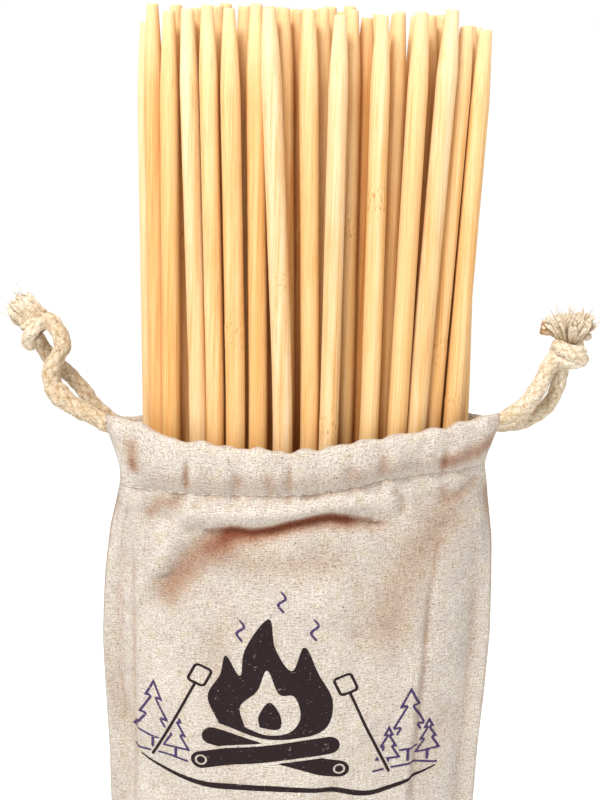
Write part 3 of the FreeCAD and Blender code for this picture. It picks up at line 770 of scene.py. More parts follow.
# hem creases: place along x, depth, width, and the share of the hem's height they run up
FRONT_CREASES = [
    (-44.2, 0.55, 1.8, 0.75), (-29.6, 1.15, 0.8, 0.62), (-22.5, 0.4, 1.2, 0.5),
    (-16.2, 0.75, 1.0, 0.45), (-8.0, 0.8, 1.1, 0.42), (-3.2, 0.55, 0.9, 0.62),
    (3.8, 0.4, 1.2, 0.5), (12.0, 0.5, 1.2, 0.55), (20.5, 0.65, 1.3, 0.5), (29.5, 0.5, 1.3, 0.6),
    (36.6, 1.0, 1.1, 0.5), (43.0, 0.45, 1.5, 0.6)]
BACK_CREASES = [
    (-38, 0.9, 1.0, 0.6), (-24, 0.7, 0.9, 0.5), (-12, 1.0, 0.9, 0.6), (3, 0.8, 1.0, 0.45),
    (16, 1.0, 0.9, 0.6), (27, 0.7, 1.1, 0.5), (39, 0.9, 1.0, 0.6)]

# One panel of the bag: its direction along y, tables, mesh counts, noise seeds, and where the
# hem's left and right ends are drawn in round the cords.
Face = namedtuple("Face", "name side rim stitch creases columns fine_rows coarse_rows "
                          "puff_seed gather_seed fine_seed broad_seed mouths mouth_radius")
FRONT = Face("front", -1, FRONT_RIM, FRONT_STITCH, FRONT_CREASES, 300, 215, 190,
             5, 21, 31, 45, ((-51.6, -5.6, 658.6), (51.0, -5.6, 662.9)), 2.35)
BACK = Face("back", 1, BACK_RIM, BACK_STITCH, BACK_CREASES, 220, 130, 150,
            6, 22, 32, 46, ((-50.4, 5.8, 656.2), (50.6, 5.6, 658.9)), 2.15)


def half_widths(z):
    return soft(z, LEFT_WIDTH, 2.2), soft(z, RIGHT_WIDTH, 2.2)


def spread_to_x(spread, z):
    """x of a share of the half width, from -1 at the left edge to 1 at the right."""
    left, right = half_widths(z)
    return np.where(spread < 0, spread * left, spread * right)


def stitch_line(face, x):
    return soft(x, face.stitch, 1.3)


def rim_line(face, x):
    return soft(x, face.rim, 0.55) - 0.2


def arc_depth(x):
    return np.sqrt(np.maximum(ARC_RADIUS ** 2 - x ** 2, 1)) - (ARC_RADIUS - ARC_DEPTH)


def body_depth(share, z):
    """Half depth of the bag's body at a share of its half width."""
    depth = soft(z, DEPTH, 3.0)
    lens = depth * (1 - share ** 2) ** 0.92
    bundle = depth * np.clip(1 - (share / 0.90) ** 2, 0, 1) ** 0.66
    flap = 0.95 * np.sqrt(np.clip(1 - share, 0, 1) + 0.15)
    shaped = (bundle ** 3 + flap ** 3) ** (1 / 3)
    mix = step(60, 240, z)
    return lens * (1 - mix) + shaped * mix + 0.25


# ------------------------------------------------------------------ folds
SWAG = [(-21, 634.2), (-17, 635.2), (-12.5, 634.8), (-7, 636.0), (-2.8, 637.6), (3, 639.2),
        (7.7, 640.2), (12, 639.6), (18, 638.2)]
# Fold tables: line in (x, height), width or (width above, width below), then height outwards
FRONT_FOLDS = [
    ([(-28, 637.4), (-20, 638.4), (-10, 638.9), (0, 641.2), (8, 643.0), (18, 643.4), (23, 643.0)],
     2.5, 1.5),
    (SWAG, (1.0, 2.8), -1.6),
    ([(x, z - 6.5) for x, z in SWAG], 3.2, 0.45),
    ([(-33.5, 619.0), (-28.5, 627.0), (-23.5, 632.6)], (2.0, 3.6), -1.15),
    ([(-38.0, 612.0), (-34.5, 617.5), (-30.0, 625.0)], 3.0, -0.75),
    ([(-29.5, 637.0), (-33.0, 630.5), (-38.0, 621.0), (-43.0, 610.0)], 2.9, 1.45),
    ([(-32.4, 641.0), (-34.2, 636.0)], 2.2, -0.9),
    ([(-38.5, 639.0), (-40.0, 633.0)], 2.4, -0.5),
    ([(-28.4, 642.6), (-30.0, 636.4)], 1.3, 0.65),
    ([(36.0, 634), (34.5, 618), (34.0, 604)], 2.6, -0.6),
    ([(22, 634), (29, 622), (31, 612)], 4.0, 0.5),
    ([(37.2, 646.2), (38.2, 643.0), (42.2, 645.0), (45.5, 648.0)], 1.6, -0.6),
    ([(40, 641), (46, 636), (49, 630)], 2.6, 0.5),
    ([(45.5, 648), (47.5, 640)], 1.6, -0.5),
    ([(-10, 624), (4, 614), (12, 600)], 4.5, 0.55),
    ([(-22, 616), (-8, 604)], 4.0, -0.45),
    ([(5, 611), (16, 607), (27, 609)], 3.0, -0.4),
    ([(24.6, 646.2), (26.4, 643.6), (26.6, 641.2)], 1.5, -0.65),
    ([(28.0, 645.5), (29.4, 641.0)], 1.6, 0.6)]
# The same layout for the warm shade painted on the front, with its strength in place of height
FRONT_SHADE = [
    ([(-18, 634.6), (-12.5, 634.2), (-7, 635.3), (-2.8, 636.9), (3, 638.6), (7.7, 639.5),
      (12, 638.9)], (0.9, 2.6), 0.62),
    ([(-8, 635.2), (-2.8, 636.9), (3, 638.6), (9, 639.3)], (0.9, 1.9), 0.35),
    ([(12, 638.6), (21, 637.4)], 2.2, 0.32),
    ([(-20, 630.5), (-26.5, 625.5), (-34, 615)], 4.0, 0.50),
    ([(-44.3, 654.8), (-44.0, 649.2)], 1.8, 0.50),
    ([(-44.0, 650.4), (-43.8, 648.4)], 1.1, 0.25),
    ([(-32.6, 640.2), (-36.6, 640.2), (-39.4, 636.4)], 2.0, 0.40),
    ([(39.0, 654.2), (42.8, 655.4), (46.5, 656.8), (48.6, 658.2)], 2.3, 0.58),
    ([(-29.6, 651), (-29.6, 646)], 0.9, 0.34),
    ([(36.4, 654.2), (36.6, 652.6)], 1.3, 0.5),
    ([(-38, 646.2), (-26, 647.2), (-5, 648.8), (12, 650.8), (25, 653.6), (34, 654.0)], 2.6, 0.15),
    ([(37.5, 638.0), (31, 629), (26, 618), (24, 608)], 7.0, 0.33),
    ([(-17, 627), (0, 626), (9, 627.5)], 5.0, 0.22),
    ([(-12, 633.6), (-18, 632.3), (-23.5, 629.5)], 2.6, 0.26),
    ([(36.5, 632), (34.6, 614), (34.1, 600), (32.4, 560)], 0.9, 0.15),
    ([(-43.9, 622), (-43.6, 600), (-42.8, 560), (-42.2, 520)], 1.0, 0.17),
    ([(37.4, 645.4), (38.6, 642.8), (42.4, 644.6), (45.6, 647.6)], 1.6, 0.25),
    ([(25.6, 645.0), (26.6, 642.0)], 0.9, 0.14),
    ([(-16, 649), (-16, 646)], 1.7, 0.16),
    ([(-8, 650), (-7.5, 646)], 1.6, 0.18),
    ([(-3, 652), (-3, 648)], 1.1, 0.16),
    ([(12, 653.5), (14, 650.5)], 1.8, 0.16),
    ([(20.5, 656), (21.5, 652)], 1.6, 0.2)]
# Upright tucks at the left and right of the printed face: direction inwards along x, (height, x)
# line, heights of fading in and out, softness and reach of the step, then depth, offset and
# width of the groove outside it
TUCKS = [
    (1, [(480, -41.5), (551, -42.5), (581, -42.8), (610, -43.1), (628, -43.3), (634, -43.3)],
     (440, 520), (612, 632), 0.32, 9.0, 0.40, 0.9, 1.1),
    (-1, [(470, 31.5), (556, 32.3), (570, 32.7), (603, 34.1), (615, 34.3), (630, 36.7),
          (642, 38.2)], (430, 515), (604, 636), 0.36, 10.0, 0.45, 1.0, 1.4)]


def segment_distance(x, z, start, end):
    dx, dz = end[0] - start[0], end[1] - start[1]
    t = ((x - start[0]) * dx + (z - start[1]) * dz) / (dx * dx + dz * dz + 1e-12)
    t = np.clip(t, 0, 1)
    return np.hypot(x - start[0] - t * dx, z - start[1] - t * dz)


def fold_height(x, z, line, width, height):
    """A bell-shaped ridge along a line; a pair of widths makes its two sides differ."""
    if isinstance(width, tuple):
        along, level = np.asarray(line, float).T
        width = np.where(z > np.interp(x, along, level), *width)
    away = np.min([segment_distance(x, z, *ends) for ends in zip(line, line[1:])], axis=0)
    return height * np.exp(-(away / width) ** 2)


def fold_sum(x, z, table):
    return sum(fold_height(x, z, *fold) for fold in table)


def tuck_sum(x, z):
    total = 0
    for inwards, line, rise, fall, softness, reach, depth, offset, width in TUCKS:
        inside = inwards * (x - np.interp(z, *np.array(line).T))
        lift = 1.25 / (1 + np.exp(-inside / softness)) * np.exp(-np.maximum(inside, 0) / reach)
        groove = depth * np.exp(-((inside + offset) / width) ** 2)
        total = total + step(*rise, z) * (1 - step(*fall, z)) * (lift - groove)
    return total


def random_folds(x, z, seed, count, low, high, longest, height, widths):
    random = np.random.default_rng(seed)
    total = np.zeros_like(x)
    row_z = z[:, z.shape[1] // 2]
    for _ in range(count):
        x0, z0 = random.uniform(-44, 44), random.uniform(low, high)
        angle = random.normal(np.pi / 2, 0.55)
        length = random.uniform(0.35, 1.0) * longest
        x1, z1 = x0 + length * math.cos(angle), z0 + length * math.sin(angle)
        middle = ((x0 + x1) / 2 + random.normal(0, 2), (z0 + z1) / 2)
        width = random.uniform(*widths)
        size = random.choice([-1.0, 1.0]) * random.uniform(0.35, 1.0) * height
        rows = (row_z > min(z0, z1) - 4 * width) & (row_z < max(z0, z1) + 4 * width)
        if rows.any():
            line = [(x0, z0), middle, (x1, z1)]
            total[rows] += fold_height(x[rows], z[rows], line, width, size)
    return total


GATHER_SPACING = 6.2


def gathers(x, seed):
    """Upright pleats drawn in by the cord: a value from about -1 to 1 along the hem."""
    random = np.random.default_rng(seed)
    out = np.zeros_like(x)
    place = -52.0
    while place < 52:
        width = random.uniform(0.55, 1.15) * GATHER_SPACING * 0.36
        out += random.uniform(0.35, 1.0) * np.exp(-((x - place) / width) ** 2)
        place += random.uniform(0.6, 1.45) * GATHER_SPACING
    return out - 0.55


# ------------------------------------------------------------------ bag panels
# The hem's rows as (on the outer face, angle): up the inner face, over the rim, down the outer
INNER_STEPS, OUTER_STEPS = ((26, 40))
HEM_TURN = ([(False, angle) for angle in np.linspace(0, np.pi, INNER_STEPS)]
            + [(True, angle) for angle in np.linspace(np.pi, 0, OUTER_STEPS)[1:]])
HEM_ROWS = len(HEM_TURN)
HEM_LIFT = np.array([(1 - math.cos(angle)) / 2 for _, angle in HEM_TURN])


def hem_row(face, spread, outer, angle):
    lift = (1 - math.cos(angle)) / 2
    # the width depends on the height and the height on the place: a few rounds settle it
    x = spread * 50
    for _ in range(3):
        foot = stitch_line(face, x)
        x = spread_to_x(spread, foot + (rim_line(face, x) - foot) * lift)
    foot = stitch_line(face, x) - (0.0 if outer else 1.7)
    z = foot + (rim_line(face, x) - foot) * lift
    # pinched at the stitches, round at the rim
    puff = 3.0 + 0.45 * wave_noise(x, face.puff_seed, [9, 21])
    puff = puff * (1 - 0.10 * step(46, 52, np.abs(x)))
    puff = puff * (1 - 0.45 * step(0.90, 1.0, np.abs(spread)) * (1 - step(0.3, 0.8, lift)))
    if outer and angle < np.pi / 2:
        shape = math.sin(min(lift / 0.5, 1.0) * np.pi / 2) ** 0.86
    else:
        shape = math.sin(angle) ** (0.62 if angle > np.pi / 2 else 0.88)
    pleats = gathers(x, face.gather_seed)
    fine = wave_noise(x, face.fine_seed, [3.1, 4.4])
    crease = sum(depth * np.exp(-((x - place - 0.5 * math.sin(place) * lift) / width) ** 2)
                 * (1 - step(run - 0.22, run + 0.22, lift))
                 for place, depth, width, run in face.creases)
    nearest = np.min([np.abs(x - place) for place, _, _, _ in face.creases], axis=0)
    pillow = 1 - np.exp(-(nearest / 1.9) ** 2)
    low = math.cos(angle / 2) ** 2
    if outer:
        off = (0.10 + puff * shape
               + (1.05 * pleats + 0.12 * fine) * (0.25 + 0.75 * shape) * (0.75 + 0.25 * low)
               - crease * (0.3 + 0.7 * shape) + 0.45 * (pillow - 0.5) * shape)
    else:
        off = (-(0.62 * (1 + math.cos(angle)) / 2 + (puff - 0.35) * shape)
               + 0.18 * pleats * shape - 0.25 * pillow * shape)
    bearing = np.arcsin(np.clip(x / ARC_RADIUS, -1, 1))
    # the hem's ends lean in towards the cords
    y = arc_depth(x) - step(0.93, 1.0, np.abs(spread)) * (0.5 + 0.3 * lift)
    z = z + (0.25 * pleats + 0.12 * fine + 0.85 * (pillow - 0.62)) * (lift ** 3) * 0.9
    y = y + off * np.cos(bearing)
    if outer and angle < 0.02:
        y = y - 0.10
    return np.stack([x + off * np.sin(bearing) * 0.5, face.side * y, z], 1)


def smoothed(rows, kernel):
    half = len(kernel) // 2
    padded = np.pad(rows, ((0, 0), (half, half)), mode="edge")
    return np.array([np.convolve(row, kernel, mode="valid") for row in padded])


def unfolded_depth(spread, share, x, z):
    """Depth of the body before folds, opening at the top into the hem's arc."""
    seam = np.abs(spread)
    depth = body_depth(seam, z)
    opening = step(600, 645.5, z) ** 1.25
    depth = depth * (1 - opening) + (arc_depth(x) - 0.15) * opening
    gap = step(639, 651, z) * 6.2 + 0.05
    top = step(0.986, 1.0, share)
    edge = step(0.93, 1.0, seam) * opening
    depth = depth * (1 - edge) + (gap * (1 - top) + (arc_depth(x) - 0.55) * top) * edge
    closed = step(0.985, 1.0, seam) * (1 - step(632, 640, z))
    return depth * (1 - closed) + 0.03 * closed


def stretch_over_sticks(depth, reach, inside):
    """The cloth spans between the outermost sticks."""
    kernel = np.exp(-np.linspace(-1.5, 1.5, 15) ** 2)
    kernel /= kernel.sum()
    want = np.maximum(reach, smoothed(reach, kernel)) + 0.45
    want = np.where(want > 0.5, want, 0)
    depth = np.where(inside, np.maximum(depth, want), depth)
    return np.where(inside, np.maximum(smoothed(depth, kernel), want), depth)


def fold_offsets(face, spread, x, z, below):
    """How far the folds push the body's cloth out; below is the distance under the stitches."""
    if face is FRONT:
        out = fold_sum(x, z, FRONT_FOLDS) + tuck_sum(x, z)
        out += random_folds(x, z, seed=41, count=16, low=540, high=632, longest=26,
                            height=0.42, widths=(2.2, 5.0))
    else:
        out = random_folds(x, z, seed=43, count=34, low=540, high=640, longest=34,
                           height=0.8, widths=(1.8, 4.5))
    out += random_folds(x, z, seed=face.broad_seed, count=64, low=10, high=560, longest=85,
                        height=1.15, widths=(2.6, 6.5))
    # the hem's gathers and creases run on below the stitches
    out += 0.62 * gathers(x, face.gather_seed) * np.exp(-below / 7.0) * 0.75
    out += 0.15 * wave_noise(x, face.fine_seed, [3.1, 4.4]) * np.exp(-below / 3.0)
    crease = sum(depth * np.exp(-((x - place) / (width * 1.3)) ** 2)
                 for place, depth, width, _ in face.creases)
    out -= crease * 0.45 * np.exp(-below / 5.0)
    out += 0.42 * np.exp(-((below - 3.6) / 2.8) ** 2) - 0.08 * np.exp(-(below / 1.6) ** 2)
    return out * (1 - step(0.965, 1.0, np.abs(spread)))


def body_rows(face, spread):
    """Rows from the stitches down, then the unfolded x and z, depth under the stitches, folds."""
    # rows as shares of the stitch height, closest together in the upper part
    share = np.concatenate([1 - np.linspace(0.0, 0.165, face.fine_rows // THIN)[1:],
                            np.linspace(1 - 0.165, 0.0055, face.coarse_rows // THIN)[1:]])[:, None]
    x = np.tile(spread * 50, (len(share), 1))
    for _ in range(3):
        x = spread_to_x(spread, stitch_line(face, x) * share)
    z = stitch_line(face, x) * share
    below = stitch_line(face, x) - z
    inside = np.abs(spread) < 0.93
    depth = stretch_over_sticks(unfolded_depth(spread, share, x, z),
                                stick_reach(x, z, face.side), inside)
    folds = fold_offsets(face, spread, x, z, below)
    slope = np.gradient(depth, axis=1) / np.maximum(np.abs(np.gradient(x, axis=1)), 1e-3)
    normal_x, normal_y = -slope / np.sqrt(1 + slope ** 2), 1 / np.sqrt(1 + slope ** 2)
    out_x = x + normal_x * folds * 0.6
    # keep the two panels apart, and the cloth clear of the sticks
    out_y = np.maximum(depth + normal_y * folds,
                       0.42 * (1 - step(0.972, 0.99, np.abs(spread))))
    need = stick_reach(out_x, z, face.side)
    out_y = np.where(inside & (need > 0.3), np.maximum(out_y, need + 0.05), out_y)
    return np.stack([out_x, face.side * out_y, z], -1), x, z, below, folds


def base_rows(face, last):
    """Round under, then across the flat base to the middle seam."""
    rows = []
    for turn in np.linspace(0.15, 1.0, 7) * np.pi / 2:
        tuck = 1 - math.cos(turn)
        rows.append(last * [1 - 0.030 * tuck, 1 - 0.06 * tuck, 1 - math.sin(turn)]
                    + [0, 0, 0.03])
    under = rows[-1]
    for q in np.linspace(0.06, 1.0, 14):
        seam_rise = 0.9 * max(q - 0.93, 0) / 0.07
        rows.append(under * [1, 1 - q, 0] + [0, face.side * 0.01, 0.03 + seam_rise])
    return np.array(rows)


def draw_in_hem(face, spread, sheet):
    """Clear the sticks, then draw the hem's open ends in round the cords."""
    hem = sheet[:HEM_ROWS]
    need = stick_reach(hem[..., 0], hem[..., 2], face.side)
    out = face.side * hem[..., 1]
    held = (np.abs(spread) < 0.95) & (need > 0.3)
    hem[..., 1] = face.side * np.where(held, np.maximum(out, need - 0.25), out)
    angle = np.array([2 * np.pi - a if outer else a for outer, a in HEM_TURN])
    upper = step(0.22, 0.62, HEM_LIFT)
    for sign, (x, y, z) in zip((-1, 1), face.mouths):
        near_end = np.clip((spread * sign - 0.93) / 0.07, 0, 1) ** 1.6
        weight = (upper[:, None] * near_end)[..., None]
        ring = np.stack([np.full(HEM_ROWS, x), y - face.side * face.mouth_radius * np.sin(angle),
                         z - face.mouth_radius * np.cos(angle)], -1)
        hem[:] = hem * (1 - weight) + ring[:, None] * weight


def add_turned_edges(face, sheet):
    """A narrow turned edge: one more column at each side."""
    upper = step(0.22, 0.62, HEM_LIFT)
    edges = []
    for col, sign, (_, mouth_y, mouth_z) in zip((0, -1), (-1, 1), face.mouths):
        edge = sheet[:, col].copy()
        hem = edge[:HEM_ROWS]
        _, mid_y, mid_z = hem.mean(0)
        hem[:, 0] -= sign * (0.25 + 0.65 * upper)
        hem[:, 1] += ((mid_y - hem[:, 1]) * 0.22 * (1 - upper)
                      + (mouth_y - hem[:, 1]) * 0.16 * upper)
        hem[:, 2] += ((mid_z - hem[:, 2]) * 0.06 * (1 - upper)
                      + (mouth_z - hem[:, 2]) * 0.16 * upper)
        edges.append(edge[:, None])
    return np.concatenate([edges[0], sheet, edges[1]], 1)


def fold_shade(face, sheet, body, body_z, folds):
    """Strength of the painted warm shade: how far the cloth lies below its neighbourhood, how deep
    its folds sink, a flat shade on the hem's inner face and on the base, and on the front the listed
    shade patches.
    """
    window = 9
    kernel = np.ones(window) / window
    out = face.side * sheet[..., 1]
    mean = smoothed(smoothed(out, kernel).T, kernel).T
    hollow = np.clip((mean - out) * 0.9, 0, 0.4)
    hollow *= 0.35 + 0.65 * step(520, 600, sheet[..., 2])
    hollow[:INNER_STEPS] = 0.15
    hollow[body.stop:] = 0.1
    sunk = np.zeros(hollow.shape)
    sunk[body, 1:-1] = np.clip(-folds, 0, 3) * (0.05 + 0.17 * step(520, 600, body_z))
    shade = np.clip(np.maximum(hollow, sunk), 0, 1)
    if face is FRONT:
        outside = slice(INNER_STEPS, body.stop)
        own = shade[outside]
        tone = fold_sum(sheet[outside, :, 0], sheet[outside, :, 2], FRONT_SHADE)
        shade[outside] = np.clip(np.maximum(own, tone) + 0.35 * np.minimum(own, tone), 0, 1)
    return shade


def build_panel(face):
    """Make one panel; gives back its grid of points, its uv grid and its fold shade."""
    t = np.linspace(-1, 1, face.columns // THIN)
    spread = np.sign(t) * (np.abs(t) ** 0.94)
    hem = np.array([hem_row(face, spread, outer, angle) for outer, angle in HEM_TURN])
    cloth, body_x, body_z, below, folds = body_rows(face, spread)
    sheet = np.concatenate([hem, cloth, base_rows(face, cloth[-1])])
    draw_in_hem(face, spread, sheet)
    sheet = add_turned_edges(face, sheet)
    rows, cols = sheet.shape[:2]
    body = slice(HEM_ROWS, HEM_ROWS + len(cloth))
    across, down = np.meshgrid(run_length(sheet[HEM_ROWS + 40]), run_length(sheet[:, cols // 2]))
    uv = np.stack([across, -down], -1) * UV_PER_MM
    shade = fold_shade(face, sheet, body, body_z, folds)
    painted_highlight = np.zeros((rows, cols))
    if face is FRONT:
        # a painted highlight: the lit band just under the stitches
        painted_highlight[body, 1:-1] = (0.8 * np.exp(-((below - 2.2) / 2.2) ** 2)
                            * step(-31.5, -28.0, body_x) * (1 - 0.45 * step(20, 30, body_x))
                            * (1 - step(40, 46, body_x)))
    piece = make_mesh("bag_" + face.name + "_cloth", sheet.reshape(-1, 3),
                      grid_faces(rows, cols, flip=face is BACK), uv.reshape(-1, 2),
                      {"fold": shade.ravel(), "painted_highlight": painted_highlight.ravel()})
    dress(piece, CLOTH, ride="bag", replaces="bag_" + face.name + "_panel")
    return sheet, uv, shade


def build_hem_stitches(face, line):
    """Short straight stitches lying in the groove at the foot of the hem."""
    parts = Parts()
    along = run_length(line)
    bow = np.array([-0.16, -0.04, 0.0, -0.04, -0.16])
    radius = np.array([0.09, 0.16, 0.18, 0.16, 0.09])
    for start in np.arange(3.0, along[-1] - 5.5, 3.1):
        a, c, e = [np.array([np.interp(start + q, along, axis) for axis in line.T])
                   for q in (0, 1.1, 2.2)]
        path = np.array([a, a + (c - a) * 0.5, c, c + (e - c) * 0.5, e])
        path[:, 1] += face.side * (bow - 0.02)
        path[:, 2] -= 0.12
        parts.add(*tube(path, radius, sides=7))
    dress(parts.done("hem_thread_" + face.name), THREAD, ride="bag",
          replaces="hem_stitching_" + face.name)


# ------------------------------------------------------------------ print: a campfire picture
# Drawn about the flame's middle in its own units, then sized to the printed area.
# A field is a signed distance, negative inside the ink.
PRINT_LOW, PRINT_HIGH = 545.0, 622.0
PRINT_PITCH = 0.33
FLAME = [(-15, -4), (-18.5, 5), (-15.0, 13), (-13.5, 20), (-9.2, 13.5), (-8.0, 23), (-1.5, 34),
         (0.5, 24), (5.5, 16.5), (8.8, 25), (13.0, 16), (17.5, 6), (14.5, -4), (0, -7.5)]
FLAME_CORE = [(-7.5, -4), (-9.0, 3), (-4.2, 9), (-1.6, 16.5), (2.0, 8.5), (6.4, 8.0), (8.4, 1),
              (5.6, -4.5), (-1, -6.0)]
FLAME_HEART = [(-3.2, -3.5), (-3.6, 0.5), (-0.6, 5.5), (2.6, 1.2), (2.4, -3.6)]
GROUND = [(-38, -20.5), (-28, -24.2), (-14, -25.6), (2, -24.6), (16, -24.2), (28, -26.0),
          (38, -24.0), (48.5, -20.8)]
GROUND_HALF = [0.25, 0.75, 1.0, 0.95, 0.8, 0.95, 0.7, 0.2]
HILLS = ([(-40, -19.0), (-32, -17.6), (-24, -18.4)], [(30, -18.4), (40, -17.6), (49, -19.6)])
# x, foot and height of each pine
PINES = [(-34.5, -15, 23), (-27.5, -16.2, 15), (40.0, -15, 25), (34.0, -16.2, 13.5),
         (46.0, -16.4, 14)]
SMOKE_FEET = [(-9, 25.5), (2.5, 36.5), (12, 27.5)]


def plane_curve(points, spacing):
    return smooth_curve([(x, 0, z) for x, z in points], spacing)[:, ::2]


def polygon(x, z, points):
    """Signed distance to a closed outline, negative inside."""
    points = np.asarray(points, float)
    best = np.full(x.shape, 1e9)
    inside = np.zeros(x.shape, bool)
    for start, end in zip(points, np.roll(points, -1, 0)):
        best = np.minimum(best, segment_distance(x, z, start, end))
        (x0, z0), (x1, z1) = start, end
        dz = z1 - z0
        crosses = ((z0 <= z) & (z1 > z)) | ((z1 <= z) & (z0 > z))
        inside ^= crosses & (x < x0 + (z - z0) * (x1 - x0) / (dz if abs(dz) > 1e-9 else 1e-9))
    return np.where(inside, -best, best)


def blob(x, z, points):
    """A closed smooth outline through the points."""
    return polygon(x, z, plane_curve(points + points[:1], 0.7)[:-1])


def stroke(x, z, points, half):
    """A brush stroke; half is its half width, or a list of them along it."""
    half = np.atleast_1d(half)
    curve = plane_curve(points, 0.8)
    best = np.full(x.shape, 1e9)
    for k, ends in enumerate(zip(curve[:-1], curve[1:])):
        width = np.interp(k / len(curve), np.linspace(0, 1, len(half)), half)
        best = np.minimum(best, segment_distance(x, z, *ends) - width)
    return best


def bar(x, z, start, end, half):
    middle = ((start[0] + end[0]) / 2, (start[1] + end[1]) / 2)
    return stroke(x, z, [start, middle, end], half)


def dark_ink(x, z):
    """Flame, crossed logs, ground and two roasting sticks."""
    ink = np.maximum(blob(x, z, FLAME), -blob(x, z, FLAME_CORE))
    ink = np.minimum(ink, blob(x, z, FLAME_HEART))
    # the logs are kept clear of the flame, and of each other, by a thin gap
    log = bar(x, z, (-20, -17), (17, -8.5), 2.9)
    crossing = bar(x, z, (-17, -8.5), (20, -17), 2.9)
    ink = np.maximum(ink, -(np.minimum(log, crossing) - 1.1))
    logs = np.minimum(log, np.maximum(crossing, -(log - 0.9)))
    for end_x in (-20, 20):
        logs = np.maximum(logs, 0.28 - np.abs(np.hypot(x - end_x, z + 17) - 1.5))
    ink = np.minimum(ink, logs)
    ink = np.minimum(ink, stroke(x, z, GROUND, GROUND_HALF))
    # roasting sticks leaning in, with a marshmallow on each
    for sign in (-1, 1):
        foot, tip = np.array((sign * 34.5, -19.0)), np.array((sign * 20.5, 13.0))
        ink = np.minimum(ink, bar(x, z, foot, tip, 0.42))
        dx, dz = unit(tip - foot)
        from_x, from_z = x - (tip[0] - dx), z - (tip[1] - dz)
        along, across = from_x * dx + from_z * dz, from_x * dz - from_z * dx
        sweet = np.hypot(np.maximum(np.abs(along) - 2.0, 0),
                         np.maximum(np.abs(across) - 1.5, 0)) - 1.1
        ink = np.minimum(np.maximum(ink, -(sweet - 0.1)), np.abs(sweet) - 0.42)
    return ink


def plum_ink(x, z, dark):
    """Thin lines: pine trees, hills and curls of smoke, kept clear of the dark ink."""
    ink = np.full(x.shape, 1e9)
    for pine_x, foot, height in PINES:
        width = height * 0.30
        right = [(0, foot + height)]
        for k in range(3):
            level = foot + height - (k + 1) * height * 0.30
            right.append((width * (0.45 + 0.28 * k), level))
            if k < 2:
                right.append((width * (0.18 + 0.22 * k), level + height * 0.02))
        left = [(-out, level) for out, level in reversed(right[1:])]
        tree = polygon(x, z, [(pine_x + out, level) for out, level in right + left])
        ink = np.maximum(ink, -(tree - 0.55))
        ink = np.minimum(ink, np.abs(tree + 0.4) - 0.36)
        trunk = bar(x, z, (pine_x, foot + height * 0.1), (pine_x, foot - 1.2), 0.45)
        ink = np.minimum(ink, trunk)
    for hill in HILLS:
        ink = np.minimum(ink, stroke(x, z, hill, 0.36))
    for smoke_x, low in SMOKE_FEET:
        curl = [(smoke_x, low), (smoke_x - 1.6, low + 2.4), (smoke_x + 0.6, low + 4.6),
                (smoke_x - 0.8, low + 6.8)]
        ink = np.minimum(ink, stroke(x, z, curl, [0.36, 0.4, 0.34, 0.15]))
    return np.maximum(ink, -(dark - 0.5))


def resample(sheet):
    """A finer grid over the printed part of the front; channels are x, y, z, u, v, shade."""
    z = sheet[..., 2]
    rows = np.where((z.max(1) > PRINT_LOW) & (z.min(1) < PRINT_HIGH))[0]
    part = sheet[rows[0]:rows[-1] + 1, 2:-2]
    count, cols = part.shape[:2]
    points = part[..., :3]
    row_step = np.linalg.norm(np.diff(points[:, cols // 2], axis=0), axis=1).mean()
    col_step = np.linalg.norm(np.diff(points[count // 2], axis=0), axis=1).mean()
    row = np.linspace(0, count - 1, int(count * row_step / PRINT_PITCH))
    col = np.linspace(0, cols - 1, int(cols * col_step / PRINT_PITCH))
    r0, c0 = np.minimum(row.astype(int), count - 2), np.minimum(col.astype(int), cols - 2)
    fr, fc = (row - r0)[:, None, None], (col - c0)[None, :, None]
    return (part[np.ix_(r0, c0)] * ((1 - fr) * (1 - fc)) + part[np.ix_(r0, c0 + 1)] * ((1 - fr) * fc)
            + part[np.ix_(r0 + 1, c0)] * (fr * (1 - fc)) + part[np.ix_(r0 + 1, c0 + 1)] * (fr * fc))


def cut_sheet(field, sheet, lift):
    """The part of a sheet where the field is negative, its edge cut through the cells,
    lifted off the cloth towards the front."""
    points = sheet[..., :3]
    normal = np.cross(np.gradient(points, axis=1), np.gradient(points, axis=0))
    normal /= np.maximum(np.linalg.norm(normal, axis=2), 1e-9)[..., None]
    normal *= np.sign(1e-9 - normal[..., 1])[..., None]
    raised = np.concatenate([points + normal * lift, sheet[..., 3:]], -1)
    verts, faces, index = [], [], {}

    def corner(a):
        if a not in index:
            index[a] = len(verts)
            verts.append(raised[a])
        return index[a]

    def crossing(a, b):
        a, b = min(a, b), max(a, b)
        if (a, b) not in index:
            t = field[a] / (field[a] - field[b])
            index[a, b] = len(verts)
            verts.append(raised[a] * (1 - t) + raised[b] * t)
        return index[a, b]

    inked = field < 0
    cells = inked[:-1, :-1] | inked[1:, :-1] | inked[:-1, 1:] | inked[1:, 1:]
    for i, j in zip(*np.where(cells)):
        ring = [(i, j), (i, j + 1), (i + 1, j + 1), (i + 1, j)]
        face = []
        for a, b in zip(ring, ring[1:] + ring[:1]):
            if inked[a]:
                face.append(corner(a))
            if inked[a] != inked[b]:
                face.append(crossing(a, b))
        face = [k for n, k in enumerate(face) if k != face[n - 1]]
        if len(face) >= 3:
            faces.append(face)
    return np.array(verts), faces


